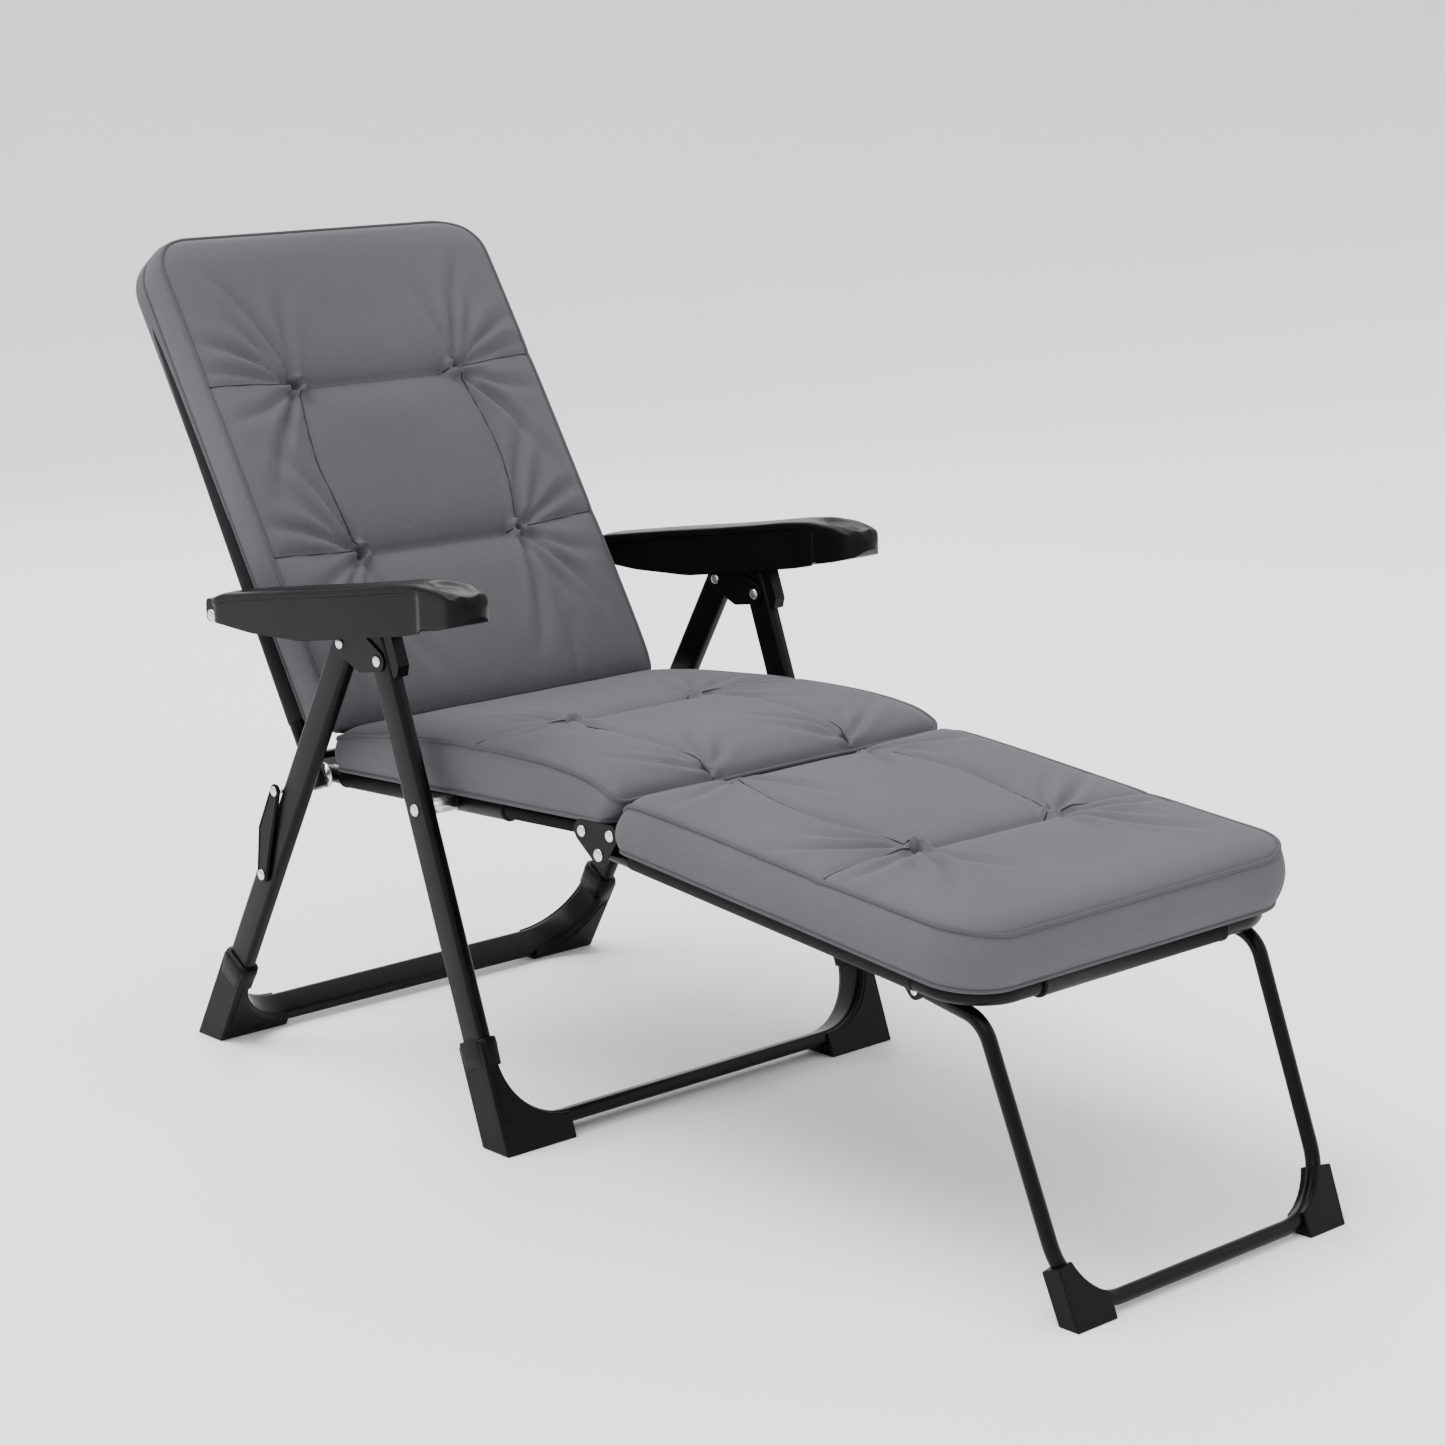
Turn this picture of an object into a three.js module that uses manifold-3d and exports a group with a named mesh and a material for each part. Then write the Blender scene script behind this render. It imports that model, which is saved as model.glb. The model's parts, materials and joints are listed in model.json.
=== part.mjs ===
// A folding padded lounger: two leg frames that scissor on side plates, a seat, a reclining
// back, a leg rest with its own stand, and armrests that slide on the leg frames.
// Millimetres, +Z up, the sitter faces -Y. "side" -1 is the sitter's right, +1 the left.
import * as THREE from 'three';
import { mergeVertices } from 'three/addons/utils/BufferGeometryUtils.js';
import Module from 'manifold-3d';

const wasm = await Module();
wasm.setup();

// ---------------------------------------------------------------- driving dimensions
const ORIGIN_Y = -193.8878;          // shifts the chair so that the origin is under its middle
const GAP = 0.3;                    // air between pieces that touch
const LEG_X = 280;                  // plane of both leg frames, each side of the middle
const LEG_WIDE = 38;                // leg tube: flat oval, wide in the side view
const LEG_THICK = 16;
const LEG_BEND = 85;
const RAIL_R = 10;                  // round tube of seat, back and leg rest
const SEAT_X = 222;
const BACK_X = 245;                 // back rails at the pivot; they close in towards the top
const BACK_TOP_X = 229;
const CUSHION_X = 240;
const PLATE = 2.4;                  // steel side plates
const PIN_R = 4;

// side view: directions are degrees from +Y towards +Z, points are [y, z]
const FRONT_LEG_DIR = 70.5;
const REAR_LEG_DIR = 121;
const BACK_DIR = 58.3;
const REAR_PIVOT = [71, 536];       // rear leg on the side plates
const FRONT_RIVET = [0, 525];       // front leg fixed to the side plates
const BACK_PIVOT = [199, 353];
const SEAT_PIVOT = along(FRONT_RIVET, FRONT_LEG_DIR, -170);
const ARM_PIVOT = along(BACK_PIVOT, BACK_DIR, 218.5);
const ARM_PIN = [66, 563.7];        // the plates' pin that runs in the armrest
const LINK_TOP = [217, 341];
const LINK_FOOT = along(REAR_PIVOT, REAR_LEG_DIR, -352.8);
const KNEE_PIVOT = [-322, 354];
const REST_TOE = [-848, 303];       // middle of the leg rest's end tube
const STAND_PIVOT = [-760, 294];
const SEAT_DIR = direction(BACK_PIVOT, SEAT_PIVOT);
const REST_DIR = direction(KNEE_PIVOT, REST_TOE);
const BACK_LENGTH = 668;            // pivot to the middle of the top tube
const FRONT_BAR_Z = 17;
const REAR_BAR_Z = 20;

// ---------------------------------------------------------------- plane geometry
function along([y, z], degrees, distance) {
  const a = THREE.MathUtils.degToRad(degrees);
  return [y + distance * Math.cos(a), z + distance * Math.sin(a)];
}

function direction([y0, z0], [y1, z1]) {
  return THREE.MathUtils.radToDeg(Math.atan2(z1 - z0, y1 - y0));
}

// the point a distance along a line and an offset to its left
function beside(point, degrees, distance, offset) {
  return along(along(point, degrees, distance), degrees + 90, offset);
}

// an outline round circles [y, z, r] given anticlockwise
function roundOutline(circles) {
  const shape = new THREE.Shape();
  const turns = circles.map(([y, z, r], i) => {
    const [ny, nz, nr] = circles[(i + 1) % circles.length];
    const heading = Math.atan2(nz - z, ny - y);
    const lean = Math.acos((r - nr) / Math.hypot(ny - y, nz - z));
    return heading - lean;
  });
  circles.forEach(([y, z, r], i) => {
    const from = turns[(i + circles.length - 1) % circles.length];
    let to = turns[i];
    while (to < from) to += 2 * Math.PI;
    shape.absarc(y, z, r, from, to, false);
  });
  return shape;
}

function outline(points) {
  return new THREE.Shape(points.map(([a, b]) => new THREE.Vector2(a, b)));
}

// ---------------------------------------------------------------- solids
function outward(geometry) {
  const mesh = geometry.index ? geometry.toNonIndexed() : geometry;
  const p = mesh.attributes.position;
  let volume = 0;
  for (let i = 0; i < p.count; i += 3) {
    const [a, b, c] = [0, 1, 2].map((k) => new THREE.Vector3().fromBufferAttribute(p, i + k));
    volume += a.dot(b.cross(c));
  }
  if (volume > 0) return mesh;
  const turned = mesh.clone();
  for (let i = 0; i < p.count; i += 3) {
    turned.attributes.position.setXYZ(i + 1, p.getX(i + 2), p.getY(i + 2), p.getZ(i + 2));
    turned.attributes.position.setXYZ(i + 2, p.getX(i + 1), p.getY(i + 1), p.getZ(i + 1));
  }
  return turned;
}

function solid(geometry) {
  const bare = outward(geometry).clone();
  bare.deleteAttribute('normal');
  bare.deleteAttribute('uv');
  const merged = mergeVertices(bare, 1e-3);
  return new wasm.Manifold(new wasm.Mesh({
    numProp: 3,
    vertProperties: merged.attributes.position.array,
    triVerts: new Uint32Array(merged.index.array),
  }));
}

function geometryOf(body) {
  const mesh = body.getMesh();
  const geometry = new THREE.BufferGeometry();
  geometry.setAttribute('position', new THREE.BufferAttribute(new Float32Array(mesh.vertProperties), 3));
  geometry.setIndex(new THREE.BufferAttribute(new Uint32Array(mesh.triVerts), 1));
  geometry.computeVertexNormals();
  return geometry;
}

// a side-view shape, extruded across the chair from x0 to x1
function sidePlate(shape, x0, x1, curveSegments = 3) {
  const settings = { depth: Math.abs(x1 - x0), bevelEnabled: false, curveSegments };
  const geometry = new THREE.ExtrudeGeometry(shape, settings);
  geometry.translate(0, 0, Math.min(x0, x1));
  const across = new THREE.Matrix4();
  across.makeBasis(new THREE.Vector3(0, 1, 0), new THREE.Vector3(0, 0, 1), new THREE.Vector3(1, 0, 0));
  return solid(geometry.applyMatrix4(across));
}

function box(x0, x1, y0, y1, z0, z1) {
  const geometry = new THREE.BoxGeometry(x1 - x0, y1 - y0, z1 - z0);
  return solid(geometry.translate((x0 + x1) / 2, (y0 + y1) / 2, (z0 + z1) / 2));
}

// a cylinder across the chair
function bar([y, z], radius, x0, x1, sides = 12) {
  const geometry = new THREE.CylinderGeometry(radius, radius, Math.abs(x1 - x0), sides);
  geometry.rotateZ(-Math.PI / 2);
  return solid(geometry.translate((x0 + x1) / 2, y, z));
}

function drill(body, holes, radius = PIN_R + GAP) {
  return holes.reduce((left, hole) => left.subtract(bar(hole, radius, -320, 320)), body);
}

// a rivet across the chair: [|x|, radius] steps of its shaft from inside to outside
function rivet([y, z], side, steps, headRadius = 7.5, headHeight = 3, innerHead = headRadius) {
  const [first, last] = [steps[0][0], steps[steps.length - 1][0]];
  const profile = [[0, first - headHeight], [innerHead * 0.7, first - headHeight],
    [innerHead, first - headHeight * 0.3], [innerHead, first]];
  steps.forEach(([x, r], i) => {
    if (i > 0) profile.push([steps[i - 1][1], x]);
    profile.push([r, x]);
  });
  profile.pop();
  profile.push([headRadius, last], [headRadius, last + headHeight * 0.3],
    [headRadius * 0.7, last + headHeight], [0, last + headHeight]);
  const points = profile.map(([r, x]) => new THREE.Vector2(r, x));
  const geometry = new THREE.LatheGeometry(points, 10);
  geometry.rotateZ(side > 0 ? -Math.PI / 2 : Math.PI / 2);
  return solid(geometry.translate(0, y, z));
}

// ---------------------------------------------------------------- tubes
// a path of stations, each with its own place and heading, so bends have steps and straights none
class StationPath extends THREE.Curve {
  constructor(stations) {
    super();
    this.stations = stations;
  }
  station(u) {
    return this.stations[Math.round(u * (this.stations.length - 1))];
  }
  getPointAt(u) {
    return this.station(u).point.clone();
  }
  getTangentAt(u) {
    return this.station(u).heading.clone();
  }
}

// corners [x, y, z] joined by straights, with a round bend of the given radius at each
function bentPath(corners, radius, stepsPerBend = 5) {
  const points = corners.map((c) => new THREE.Vector3(...c));
  const heading = (i) => points[i + 1].clone().sub(points[i]).normalize();
  const stations = [{ point: points[0], heading: heading(0) }];
  for (let i = 1; i < points.length - 1; i += 1) {
    const [before, after] = [heading(i - 1), heading(i)];
    const turn = before.angleTo(after);
    const r = Array.isArray(radius) ? radius[i - 1] : radius;
    const start = points[i].clone().addScaledVector(before, -r * Math.tan(turn / 2));
    const inward = after.clone().addScaledVector(before, -Math.cos(turn)).normalize();
    const centre = start.clone().addScaledVector(inward, r);
    for (let k = 0; k <= stepsPerBend; k += 1) {
      const a = (turn * k) / stepsPerBend;
      const point = centre.clone().addScaledVector(inward, -r * Math.cos(a));
      point.addScaledVector(before, r * Math.sin(a));
      const tangent = before.clone().multiplyScalar(Math.cos(a)).addScaledVector(inward, Math.sin(a));
      stations.push({ point, heading: tangent });
    }
  }
  stations.push({ point: points[points.length - 1], heading: heading(points.length - 2) });
  return new StationPath(stations);
}

function sweep(section, path) {
  const steps = path.stations.length - 1;
  return solid(new THREE.ExtrudeGeometry(section, { steps, extrudePath: path, curveSegments: 1 }));
}

function roundSection(radius, sides = 12) {
  const shape = new THREE.Shape();
  for (let i = 0; i < sides; i += 1) {
    const a = (2 * Math.PI * i) / sides;
    const place = [radius * Math.cos(a), radius * Math.sin(a)];
    if (i === 0) shape.moveTo(...place);
    else shape.lineTo(...place);
  }
  return shape;
}

function ovalSection(grow = 0) {
  const corner = 5 + grow;
  const [a, b] = [LEG_THICK / 2 + grow - corner, LEG_WIDE / 2 + grow - corner];
  return roundOutline([[a, -b, corner], [a, b, corner], [-a, b, corner], [-a, -b, corner]]);
}

// a path and its mirror image, as one run from right to left
function bothSides(corners) {
  const right = corners.map(([x, y, z]) => [-x, y, z]);
  return right.concat([...corners].reverse());
}

function legPath(pivot, degrees, reach, barZ) {
  const top = along(pivot, degrees, reach);
  const foot = along(pivot, degrees, (barZ - pivot[1]) / Math.sin(THREE.MathUtils.degToRad(degrees)));
  return bentPath(bothSides([[LEG_X, ...top], [LEG_X, ...foot]]), LEG_BEND);
}

// ---------------------------------------------------------------- leg frames
const frontLegPath = legPath(FRONT_RIVET, FRONT_LEG_DIR, 40, FRONT_BAR_Z);
const rearLegPath = legPath(REAR_PIVOT, REAR_LEG_DIR, 40, REAR_BAR_Z);

// everything past a leg's rounded end, to cut away
function beyondEnd(centre, degrees) {
  const r = LEG_WIDE / 2 - 0.2;
  const ring = [];
  for (let i = 0; i <= 8; i += 1) ring.push(along(centre, degrees + 90 - 22.5 * i, r));
  const far = [[60, -40], [60, 40]].map(([up, out]) => beside(centre, degrees, up, out));
  const near = [[0, 40], [0, -40]].map(([up, out]) => beside(centre, degrees, up, out));
  return sidePlate(outline([near[0], ...ring, near[1], far[0], far[1]].reverse()), -300, 300);
}

function frontLegFrame() {
  const tube = sweep(ovalSection(), frontLegPath);
  const rounded = tube.subtract(beyondEnd(along(FRONT_RIVET, FRONT_LEG_DIR, 18), FRONT_LEG_DIR));
  return drill(rounded, [FRONT_RIVET, SEAT_PIVOT]);
}

function rearLegFrame() {
  const tube = sweep(ovalSection(), rearLegPath);
  const rounded = tube.subtract(beyondEnd(REAR_PIVOT, REAR_LEG_DIR));
  return drill(rounded, [REAR_PIVOT, LINK_FOOT]);
}

// a shoe round the bottom bend of a leg frame, open on the inside of the bend
function shoe(path, degrees, barCentre, side) {
  const half = LEG_WIDE / 2 + 3.6;
  const lip = 3;
  const outer = LEG_X + LEG_THICK / 2 + 4;
  const top = 104;
  const bend = [LEG_X - LEG_BEND, LEG_BEND];
  const inner = LEG_BEND - LEG_THICK / 2 + lip;
  const shape = new THREE.Shape();
  shape.moveTo(outer, top);
  shape.lineTo(bend[0] + inner, top);
  shape.lineTo(bend[0] + inner, bend[1]);
  shape.absarc(bend[0], bend[1], inner, 0, -Math.PI / 2, true);
  shape.lineTo(bend[0], -40);
  shape.lineTo(outer, -40);
  const settings = { depth: 2 * half, bevelEnabled: false, curveSegments: 4 };
  const geometry = new THREE.ExtrudeGeometry(shape, settings).translate(0, 0, -half);
  const a = THREE.MathUtils.degToRad(degrees);
  const place = new THREE.Matrix4();
  const [up, sidewise] = [new THREE.Vector3(0, Math.cos(a), Math.sin(a)), new THREE.Vector3(1, 0, 0)];
  place.makeBasis(sidewise, up, sidewise.clone().cross(up)).setPosition(0, ...barCentre);
  geometry.applyMatrix4(place);
  if (side < 0) geometry.scale(-1, 1, 1);
  const block = solid(geometry).subtract(box(-400, 400, -400, 700, -200, 0));
  return block.subtract(sweep(ovalSection(GAP), path));
}

const frontBar = along(FRONT_RIVET, FRONT_LEG_DIR,
  (FRONT_BAR_Z - FRONT_RIVET[1]) / Math.sin(THREE.MathUtils.degToRad(FRONT_LEG_DIR)));
const rearBar = along(REAR_PIVOT, REAR_LEG_DIR,
  (REAR_BAR_Z - REAR_PIVOT[1]) / Math.sin(THREE.MathUtils.degToRad(REAR_LEG_DIR)));

const sidePlateOutline = roundOutline([
  [...FRONT_RIVET, 12.5], [34, 520, 12.5], [...REAR_PIVOT, 12], [...ARM_PIN, 9]]);

function legPlate(side, from) {
  const plate = sidePlate(sidePlateOutline, side * from, side * (from + PLATE));
  return drill(plate, [FRONT_RIVET, REAR_PIVOT, ARM_PIN]);
}

// the plastic nose on the front of the front leg's top
function legCap(side) {
  const front = LEG_WIDE / 2 + GAP;
  const corners = [[-24, front], [-24, front + 7], [-14, front + 14], [22, front + 14], [30, front + 5],
    [30, front]];
  const shape = outline(corners.map(([up, out]) => beside(FRONT_RIVET, FRONT_LEG_DIR, up, out)));
  return sidePlate(shape, side * (LEG_X - 7.5), side * (LEG_X + 7.5));
}

const INNER_PLATE_X = LEG_X - LEG_THICK / 2 - GAP - PLATE;
const OUTER_PLATE_X = LEG_X + LEG_THICK / 2 + GAP;
const plateRivet = (at, side) => rivet(at, side, [[INNER_PLATE_X - GAP, PIN_R],
  [OUTER_PLATE_X + PLATE + GAP, PIN_R]], 6.5, 2.2);
const armPin = (side) => rivet(ARM_PIN, side, [[INNER_PLATE_X - GAP, PIN_R],
  [OUTER_PLATE_X + PLATE + GAP, PIN_R], [302, 5.5]], 5.6, 1.2);

// ---------------------------------------------------------------- seat
const SEAT_REAR = along(BACK_PIVOT, SEAT_DIR, -88);
const SEAT_FRONT = along(SEAT_PIVOT, SEAT_DIR, 274);
const seatPath = bentPath(bothSides([[SEAT_X, ...SEAT_FRONT], [SEAT_X, ...SEAT_REAR]]), 38);

function seatFrame() {
  const tube = sweep(roundSection(RAIL_R), seatPath);
  const drilled = drill(tube, [SEAT_PIVOT, BACK_PIVOT]);
  const linkPin = bar(LINK_TOP, PIN_R + GAP, SEAT_X - 4, SEAT_X + 40);
  return drilled.subtract(linkPin).subtract(linkPin.mirror([1, 0, 0]));
}

// a hoop of plastic tube round a rail between two stations [x, y, z]
function sleeve(from, to, outer, inner) {
  const wall = (r) => sweep(roundSection(r, 14), bentPath([from, to], 0));
  const direct = new THREE.Vector3(...to).sub(new THREE.Vector3(...from)).normalize();
  const longer = [from, to].map((p, i) => new THREE.Vector3(...p).addScaledVector(direct, i ? 5 : -5));
  const bore = sweep(roundSection(inner, 14), bentPath(longer.map((p) => p.toArray()), 0));
  return wall(outer).subtract(bore);
}

function seatSleeve(side) {
  const ends = [30, 345].map((d) => [side * SEAT_X, ...along(BACK_PIVOT, SEAT_DIR, d)]);
  const tube = sleeve(ends[0], ends[1], 13, RAIL_R + 0.5);
  return tube.subtract(bar(SEAT_PIVOT, 9.5, -320, 320));
}

// ---------------------------------------------------------------- knee
const KNEE_FIX = along(SEAT_PIVOT, SEAT_DIR, 238);
const KNEE_NOSE = [-341, 378];
const KNEE_X = 241;

function kneePlate(side) {
  const shape = roundOutline([[...KNEE_FIX, 13], [...KNEE_NOSE, 12], [...KNEE_PIVOT, 12.5]]);
  return drill(sidePlate(shape, side * KNEE_X, side * (KNEE_X + PLATE)), [KNEE_PIVOT]);
}

// ---------------------------------------------------------------- leg rest
const restTail = along(KNEE_PIVOT, REST_DIR, -5);
const restPath = bentPath(bothSides([[SEAT_X, ...restTail], [SEAT_X, ...REST_TOE]]), 55);

function restFrame() {
  return drill(sweep(roundSection(RAIL_R), restPath), [KNEE_PIVOT]);
}

function toeSleeve() {
  return sleeve([-135, ...REST_TOE], [135, ...REST_TOE], 13, RAIL_R + 0.5);
}

// a hanger on the inner face of each rail carries the stand
const HANGER_X = SEAT_X - RAIL_R - GAP - 3;

function standHanger(side) {
  const [near, far] = [420, 468].map((d) => [...along(KNEE_PIVOT, REST_DIR, d), 8]);
  const shape = roundOutline([[...STAND_PIVOT, 9], near, far]);
  return drill(sidePlate(shape, side * HANGER_X, side * (HANGER_X + 3)), [STAND_PIVOT], 3.3);
}

// ---------------------------------------------------------------- stand under the leg rest
const STAND_R = 8;
const STAND_X = 200;
const STAND_FOOT_X = 192;
const STAND_KNEE = [-841, 280];
const STAND_BAR = [-946, 12];
const standPath = bentPath(bothSides([[STAND_X, -742, 297.1], [STAND_X, ...STAND_KNEE],
  [STAND_FOOT_X, ...STAND_BAR]]), [38, 72, 72, 38]);

function standFrame() {
  return drill(sweep(roundSection(STAND_R), standPath), [STAND_PIVOT], 3.3);
}

function standFoot(side) {
  const a = THREE.MathUtils.degToRad(direction(STAND_BAR, STAND_KNEE));
  const [bend, inner, half] = [72, 72 - STAND_R + 3, 12];
  const centre = [STAND_FOOT_X - bend, bend];
  const shape = new THREE.Shape();
  shape.moveTo(STAND_FOOT_X + STAND_R + 3, 46);
  shape.lineTo(centre[0] + inner * Math.cos(-0.35), centre[1] + inner * Math.sin(-0.35));
  shape.absarc(centre[0], centre[1], inner, -0.35, -1.2, true);
  shape.lineTo(centre[0] + 24, -40);
  shape.lineTo(STAND_FOOT_X + 7, -40);
  const settings = { depth: 2 * half, bevelEnabled: false, curveSegments: 3 };
  const geometry = new THREE.ExtrudeGeometry(shape, settings).translate(0, 0, -half);
  const place = new THREE.Matrix4();
  const [up, sidewise] = [new THREE.Vector3(0, Math.cos(a), Math.sin(a)), new THREE.Vector3(1, 0, 0)];
  place.makeBasis(sidewise, up, sidewise.clone().cross(up)).setPosition(0, ...STAND_BAR);
  geometry.applyMatrix4(place);
  if (side < 0) geometry.scale(-1, 1, 1);
  const block = solid(geometry).subtract(box(-400, 400, -1200, 700, -200, 0));
  return block.subtract(sweep(roundSection(STAND_R + GAP), standPath));
}

// ---------------------------------------------------------------- back
const railX = (distance) => BACK_X + ((BACK_TOP_X - BACK_X) * distance) / BACK_LENGTH;
const backCorners = [-13, BACK_LENGTH].map((d) => [railX(d), ...along(BACK_PIVOT, BACK_DIR, d)]);
const backPath = bentPath(bothSides(backCorners), 58);

function backFrame() {
  return drill(sweep(roundSection(RAIL_R), backPath), [BACK_PIVOT, ARM_PIVOT]);
}

// ---------------------------------------------------------------- armrests
const ARM_IN = 262;
const ARM_OUT = 314;
const ARM_WALL = 2.6;
const ARM_REAR = 297;
const armUnder = [[ARM_REAR, 534], [219, 531], [116, 535], [17, 551], [-78, 566], [-134, 578], [-180, 590]];
const armOver = [[-188, 606], [-176, 618], [-150, 624], [-106, 626], [-60, 621], [-12, 613], [60, 602],
  [146, 590], [220, 579], [285, 569], [ARM_REAR, 562]];

function armShell(side) {
  const body = sidePlate(outline([...armUnder, ...armOver].reverse()), side * ARM_IN, side * ARM_OUT);
  const round = (ARM_OUT - ARM_IN) / 2;
  const plan = new THREE.Shape();
  plan.moveTo(ARM_OUT, ARM_REAR + 1);
  plan.lineTo(ARM_IN, ARM_REAR + 1);
  plan.lineTo(ARM_IN, -188 + round);
  plan.absarc(ARM_IN + round, -188 + round, round, Math.PI, 2 * Math.PI, false);
  const mask = new THREE.ExtrudeGeometry(plan, { depth: 200, bevelEnabled: false, curveSegments: 5 });
  mask.translate(0, 0, 480);
  if (side < 0) mask.scale(-1, 1, 1);
  const inside = [...armOver].slice(2).map(([y, z]) => [y, z - ARM_WALL]);
  const hollow = [[ARM_REAR + 5, 500], [-150, 500], ...inside, [ARM_REAR + 5, 561 - ARM_WALL]];
  const [inner, outer] = [ARM_IN + ARM_WALL, ARM_OUT - ARM_WALL];
  const cavity = sidePlate(outline(hollow.reverse()), side * inner, side * outer);
  return body.intersect(solid(mask)).subtract(cavity);
}

// the block that closes the armrest's rear end and carries its pivot
function armClevis(side) {
  const top = (y) => 569 - ARM_WALL - GAP - 0.6 - (y > 285 ? ((y - 285) * 7) / 12 : (285 - y) * -0.15);
  const tongue = outline([[262, 538], [ARM_REAR - 3, 538], [ARM_REAR - 3, top(294)], [285, top(285)],
    [262, top(285)]]);
  const ear = roundOutline([[ARM_PIVOT[0] - 16, 543, 7], [ARM_PIVOT[0] + 5, 538, 7],
    [ARM_PIVOT[0] + 5, 552, 7], [ARM_PIVOT[0] - 16, 548, 7]]);
  const [inner, outer] = [ARM_IN + ARM_WALL + GAP, ARM_OUT - ARM_WALL - GAP];
  const block = sidePlate(tongue, side * inner, side * outer).add(
    sidePlate(ear, side * (inner + 6), side * (outer - 8)));
  return drill(block, [ARM_PIVOT]);
}

// the toothed strip under the armrest's top that the plates' pin locks in
function armRack(side) {
  const heading = direction(ARM_PIVOT, ARM_PIN);
  const rack = [];
  const pitch = 22;
  for (let i = 0; i < 8; i += 1) {
    const start = 200 + i * pitch;
    rack.push(beside(ARM_PIVOT, heading, start, -9), beside(ARM_PIVOT, heading, start + 9, -9));
    rack.push(beside(ARM_PIVOT, heading, start + 11, -14), beside(ARM_PIVOT, heading, start + 20, -14));
  }
  const high = [beside(ARM_PIVOT, heading, 200 + 8 * pitch, -20), beside(ARM_PIVOT, heading, 200, -20)];
  return sidePlate(outline([...rack, ...high]), side * 304, side * 307);
}

// ---------------------------------------------------------------- links
const LINK_X = LEG_X + LEG_THICK / 2 + 1.2;

// a flat blade that turns on the leg; the seat's pin stops against its inner face
function link(side) {
  const [top, foot] = [LINK_TOP, LINK_FOOT];
  const bulge = [(top[0] + foot[0]) / 2 + 10, (top[1] + foot[1]) / 2 + 2];
  const shape = roundOutline([[...foot, 10], [...bulge, 10], [...top, 8.5]]);
  return drill(sidePlate(shape, side * LINK_X, side * (LINK_X + 4)), [foot]);
}

// ---------------------------------------------------------------- pivots
const RAIL_CLEAR = RAIL_R + GAP;
const ARM_RAIL_X = railX(218.5);
const WASHER_R = 15;  // the washer between the seat rail and the back rail
const SPACER_R = 13;  // the spacer between the back rail and the armrest

const seatPivotRivet = (side) => rivet(SEAT_PIVOT, side, [[SEAT_X - RAIL_CLEAR, PIN_R],
  [SEAT_X + RAIL_CLEAR, 9], [LEG_X - LEG_THICK / 2 - GAP, PIN_R], [LEG_X + LEG_THICK / 2 + GAP, PIN_R]]);
const backPivotPin = (side) => rivet(BACK_PIVOT, side, [[SEAT_X - RAIL_CLEAR, PIN_R],
  [SEAT_X + RAIL_CLEAR, WASHER_R], [BACK_X - RAIL_CLEAR - GAP, PIN_R], [BACK_X + RAIL_CLEAR + GAP, PIN_R]],
  11, 3, 7.5);
const armPivotPin = (side) => rivet(ARM_PIVOT, side, [[ARM_RAIL_X - RAIL_CLEAR - GAP, PIN_R],
  [ARM_RAIL_X + RAIL_CLEAR + GAP, SPACER_R], [ARM_IN + ARM_WALL + 6, PIN_R],
  [ARM_OUT - ARM_WALL - 8, PIN_R]]);
const kneePivotRivet = (side) => rivet(KNEE_PIVOT, side, [[SEAT_X - RAIL_CLEAR, PIN_R],
  [SEAT_X + RAIL_CLEAR, 6], [KNEE_X - GAP, PIN_R], [KNEE_X + PLATE + GAP, PIN_R]]);
const linkFootRivet = (side) => rivet(LINK_FOOT, side, [[LEG_X - LEG_THICK / 2 - GAP, PIN_R],
  [LINK_X + 4 + GAP, PIN_R]]);
const linkTopPin = (side) => rivet(LINK_TOP, side, [[SEAT_X, PIN_R], [LINK_X - GAP - 1, PIN_R]],
  4.1, 1, 3.4);
const standPivotRivet = (side) => rivet(STAND_PIVOT, side, [[STAND_X - STAND_R - GAP, 3],
  [HANGER_X + 3 + GAP, 3]], 4.2, 1.1);

// ---------------------------------------------------------------- fabric
const onSeat = ([d, up]) => beside(BACK_PIVOT, SEAT_DIR, d, -up);
const onBack = ([s, out]) => beside(BACK_PIVOT, BACK_DIR, s, out);
const onRest = ([d, up]) => beside(KNEE_PIVOT, REST_DIR, d, -up);

// a cushion with a side view of [distance, height] points and two round corners at its far end
function cushion(points, place, halfWidth, cornerRadius) {
  const body = sidePlate(outline(points.map(place)), -halfWidth, halfWidth);
  const far = Math.max(...points.map(([d]) => d));
  const r = cornerRadius;
  let trimmed = body;
  for (const side of [-1, 1]) {
    const notch = new THREE.Shape();
    notch.moveTo(side * (halfWidth + 5), far - r);
    notch.lineTo(side * halfWidth, far - r);
    for (let i = 0; i <= 6; i += 1) {
      const a = (Math.PI / 2) * (i / 6);
      notch.lineTo(side * (halfWidth - r + r * Math.cos(a)), far - r + r * Math.sin(a));
    }
    notch.lineTo(side * (halfWidth - r), far + 5);
    notch.lineTo(side * (halfWidth + 5), far + 5);
    const cut = new THREE.ExtrudeGeometry(notch, { depth: 400, bevelEnabled: false });
    const [base, ahead, above] = [place([0, 0]), place([1, 0]), place([0, 1])];
    const [forward, up] = [ahead, above].map(([y, z]) => new THREE.Vector3(0, y - base[0], z - base[1]));
    const frame = new THREE.Matrix4().makeBasis(new THREE.Vector3(1, 0, 0), forward, up);
    frame.setPosition(-200 * up.x, base[0] - 200 * up.y, base[1] - 200 * up.z);
    trimmed = trimmed.subtract(solid(cut.applyMatrix4(frame)));
  }
  return trimmed;
}

function seatCushion() {
  const under = [[30, 14], [533, 14]];
  const over = [[553, 36], [538, 50], [500, 62], [420, 71], [300, 75], [200, 71], [120, 66], [58, 57]];
  return sidePlate(outline([...under, ...over].map(onSeat)), -CUSHION_X, CUSHION_X);
}

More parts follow.
